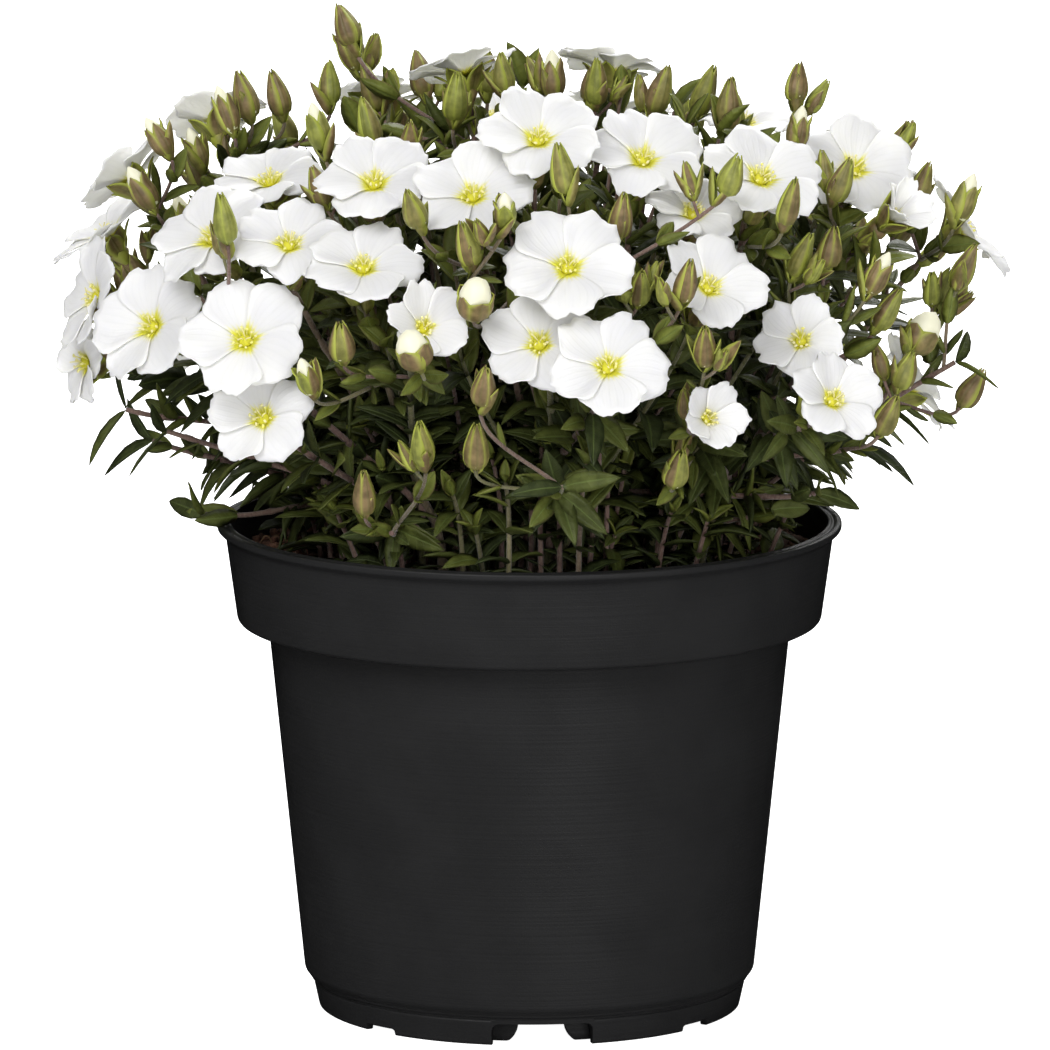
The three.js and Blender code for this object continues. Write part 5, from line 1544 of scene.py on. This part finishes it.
def petal_finish():
    """Matt white petals, a little light coming through, faint grey veins and a yellow-green throat."""
    finish = Finish("petal", Roughness=0.62, Subsurface_Weight=0.7, **THIN_TISSUE)
    marks = finish.group(PETAL_MARKS)
    veined = finish.mix(finish.less(marks["Vein"], 0.07), (0.895, 0.89, 0.862), (0.67, 0.68, 0.63))
    flushed = finish.mix(finish.less(marks["Flush"], 0.8), veined, (0.90, 0.83, 0.12))
    color = finish.mix(finish.less(marks["Throat"], 0.95), flushed, (0.78, 0.75, 0.02))
    return finish.finished(color, marks["Vein"], 0.12, 0.0002)


def centre_finish():
    """The ovary and the stamens: yellow-green where the tone is low, pale yellow where it is high."""
    finish = Finish("flower_centre", Roughness=0.6)
    shafts = finish.by_tone(0.2, 0.6, (0.66, 0.63, 0.03), (0.87, 0.84, 0.24))
    heads = finish.by_tone(0.6, 1.0, shafts, (0.90, 0.84, 0.50))
    return finish.finished(finish.mix(finish.less(finish.mottle(1500.0), 0.2), heads, (0.7, 0.6, 0.06)))


def leaf_finish():
    """Green leaves: darker or lighter by the tone, pale along the midrib, brownish at some margins."""
    finish = Finish("leaf", Roughness=0.5, Specular_IOR_Level=0.3)
    marks = finish.group(BLADE_MARKS, Line=0.09, Edge=0.10)
    patches = finish.mottle(420.0, Detail=4.0)
    deep = finish.mix(patches, (0.023, 0.032, 0.0095), (0.046, 0.060, 0.0185))
    fresh = finish.mix(patches, (0.125, 0.145, 0.022), (0.19, 0.22, 0.040))
    green = finish.by_tone(0.1, 1.0, deep, fresh)
    ribbed = finish.mix(finish.less(marks["Middle"], 0.42), green, (0.16, 0.22, 0.06))
    browned = finish.less(finish.less(marks["Margin"], finish.by_tone(0.35, 0.9)), 0.6)
    color = finish.mix(browned, ribbed, (0.15, 0.085, 0.045))
    height = finish.plus(marks["Vein"], 0.25, finish.less(marks["Middle"], -0.8))
    return finish.finished(color, finish.plus(patches, 0.3, height), 0.5, 0.0003)


def stem_finish():
    """Stems from green to purple-brown, finely downy."""
    finish = Finish("stem", Roughness=0.7, Sheen_Weight=0.25)
    patches = finish.mottle(130.0, Upright=0.4, Detail=3.0)
    down = finish.mottle(2600.0, Upright=0.5, Detail=1.0)
    brown = finish.mix(patches, (0.105, 0.052, 0.046), (0.20, 0.115, 0.092))
    green = finish.mix(patches, (0.10, 0.11, 0.035), (0.17, 0.17, 0.06))
    base = finish.by_tone(0.45, 0.75, brown, green)
    return finish.finished(finish.mix(finish.less(down, 0.35), base, (0.30, 0.24, 0.18)), down, 0.5, 0.0002)


def sepal_finish():
    """Sepals: mauve-brown to olive in the middle, with wide lime margins."""
    finish = Finish("sepal", Roughness=0.55)
    marks = finish.group(BLADE_MARKS, Line=0.1, Edge=0.33)
    patches = finish.mottle(520.0, Detail=3.0)
    dull = finish.mix(patches, (0.135, 0.088, 0.036), (0.25, 0.170, 0.075))
    fresh = finish.mix(patches, (0.18, 0.195, 0.032), (0.31, 0.33, 0.06))
    base = finish.by_tone(0.4, 0.95, dull, fresh)
    striped = finish.mix(finish.less(marks["Middle"], 0.3), base, (0.12, 0.13, 0.03))
    based = finish.mix(finish.less(marks["Base"], 0.4), striped, (0.20, 0.24, 0.03))
    color = finish.mix(finish.less(marks["Margin"], 0.9), based, (0.42, 0.47, 0.065))
    return finish.finished(color, finish.plus(patches, 0.5, marks["Middle"]), 0.4, 0.0002)


def bud_petal_finish():
    """The rolled petals of the half-open buds: creamy white, a little green below."""
    finish = Finish("bud_petal", Roughness=0.6, Subsurface_Weight=0.2, **THIN_TISSUE)
    base = finish.group(BLADE_MARKS, Line=0.1, Edge=0.1)["Base"]
    return finish.finished(finish.mix(finish.less(base, 0.6), (0.88, 0.86, 0.66), (0.62, 0.66, 0.24)))


def link_object(name, data, place=(0.0, 0.0, 0.0), target=None):
    """An object in the scene at a place, in metres, and turned to look at a target where one is given."""
    made = bpy.data.objects.new(name, data)
    made.location = place
    if target:
        made.rotation_euler = (Vector(target) - Vector(place)).to_track_quat("-Z", "Y").to_euler()
    bpy.context.scene.collection.objects.link(made)
    return made


def set_stage():
    """A wide white floor, white surroundings, three soft lamps, and a far camera 10 degrees up. Neither the
    floor nor the surroundings are mirrored in the object, as if it stood between dark screens."""
    scene = bpy.context.scene
    floor_mesh = bpy.data.meshes.new("floor")
    floor_mesh.from_pydata([(-4, -4, 0), (4, -4, 0), (4, 4, 0), (-4, 4, 0)], [], [(0, 1, 2, 3)])
    paper = Finish("paper", Roughness=0.9, Specular_IOR_Level=0.0, Emission_Color=(1.0, 1.0, 1.0, 1.0))
    rays = node_with(paper.tree, "ShaderNodeLightPath").outputs
    paper.set(Emission_Strength=rays["Is Camera Ray"])
    color = paper.mix(rays["Is Glossy Ray"], (0.85, 0.85, 0.85), (0.0, 0.0, 0.0))
    floor_mesh.materials.append(paper.finished(color))
    floor = link_object("floor", floor_mesh)
    scene.world = bpy.data.worlds.new("studio")
    scene.world.use_nodes = True
    tree = scene.world.node_tree
    mirrored = node_with(tree, "ShaderNodeLightPath").outputs["Is Glossy Ray"]
    sky = tree.nodes["Background"].inputs
    put(tree, sky["Color"], (1.0, 1.0, 1.0, 1.0))
    put(tree, sky["Strength"], sums(tree, "MULTIPLY_ADD", mirrored, -SKY_STRENGTH, SKY_STRENGTH))
    for name, place, size, power in LAMPS:
        light = bpy.data.lights.new(name, "AREA")
        light.size = size
        light.energy = power
        link_object(name, light, place, (0.0, 0.0, 0.1))
    lens = bpy.data.cameras.new("camera")
    lens.lens = CAMERA_LENS
    lens.sensor_width = 36.0
    lens.clip_end = 20.0
    aim = Vector(CAMERA_AIM)
    scene.camera = link_object("camera", lens, aim + Vector(TO_VIEWER) * CAMERA_DISTANCE, aim)
    scene.view_settings.view_transform = "Standard"


THIN_TISSUE = {"Subsurface_Radius": (0.0012, 0.0012, 0.0010), "Subsurface_Scale": 1.0}
CAMERA_LENS = 410.0
CAMERA_DISTANCE = 2.297
CAMERA_AIM = (-0.00085, 0.0, 0.0934)
SKY_STRENGTH = 0.34
LAMPS = (
    ("key_light", (-0.5, -1.15, 1.15), 0.9, 16.5),
    ("fill_light", (0.5, -1.5, 0.2), 0.8, 10.0),
    ("back_light", (0.3, 1.1, 1.0), 0.9, 20.0),
)
PLASTIC = plastic_finish()
PEAT = peat_finish()
BLOOM_FINISHES = [petal_finish(), centre_finish()]
FOLIAGE_FINISHES = [stem_finish(), leaf_finish(), sepal_finish(), bud_petal_finish()]

make_piece("pot_shell", pot_shell(), [PLASTIC], ["pot"])
make_piece("potting_mix", soil_shell(), [PEAT], ["soil"])
FILLERS, FILLER_OWNERS = filler_shoots()
LOW_SHOOTS, LOW_OWNERS = rim_shoots()
bud_places = [stalk.bud.marks for stalk in stalks]
for number in range(GROUPS):
    label = f"{number + 1:02d}"
    group = leafy_group(number, bud_places)
    make_piece(f"foliage_{label}", group, FOLIAGE_FINISHES, [f"leafy_stem_{label}"])
for number, bloom in enumerate(blooms):
    shell = Shell()
    add_petals(shell, bloom)
    add_centre(shell, bloom)
    make_piece(f"petals_{number + 1:02d}", shell, BLOOM_FINISHES, [f"bloom_{number + 1:02d}"])
set_stage()
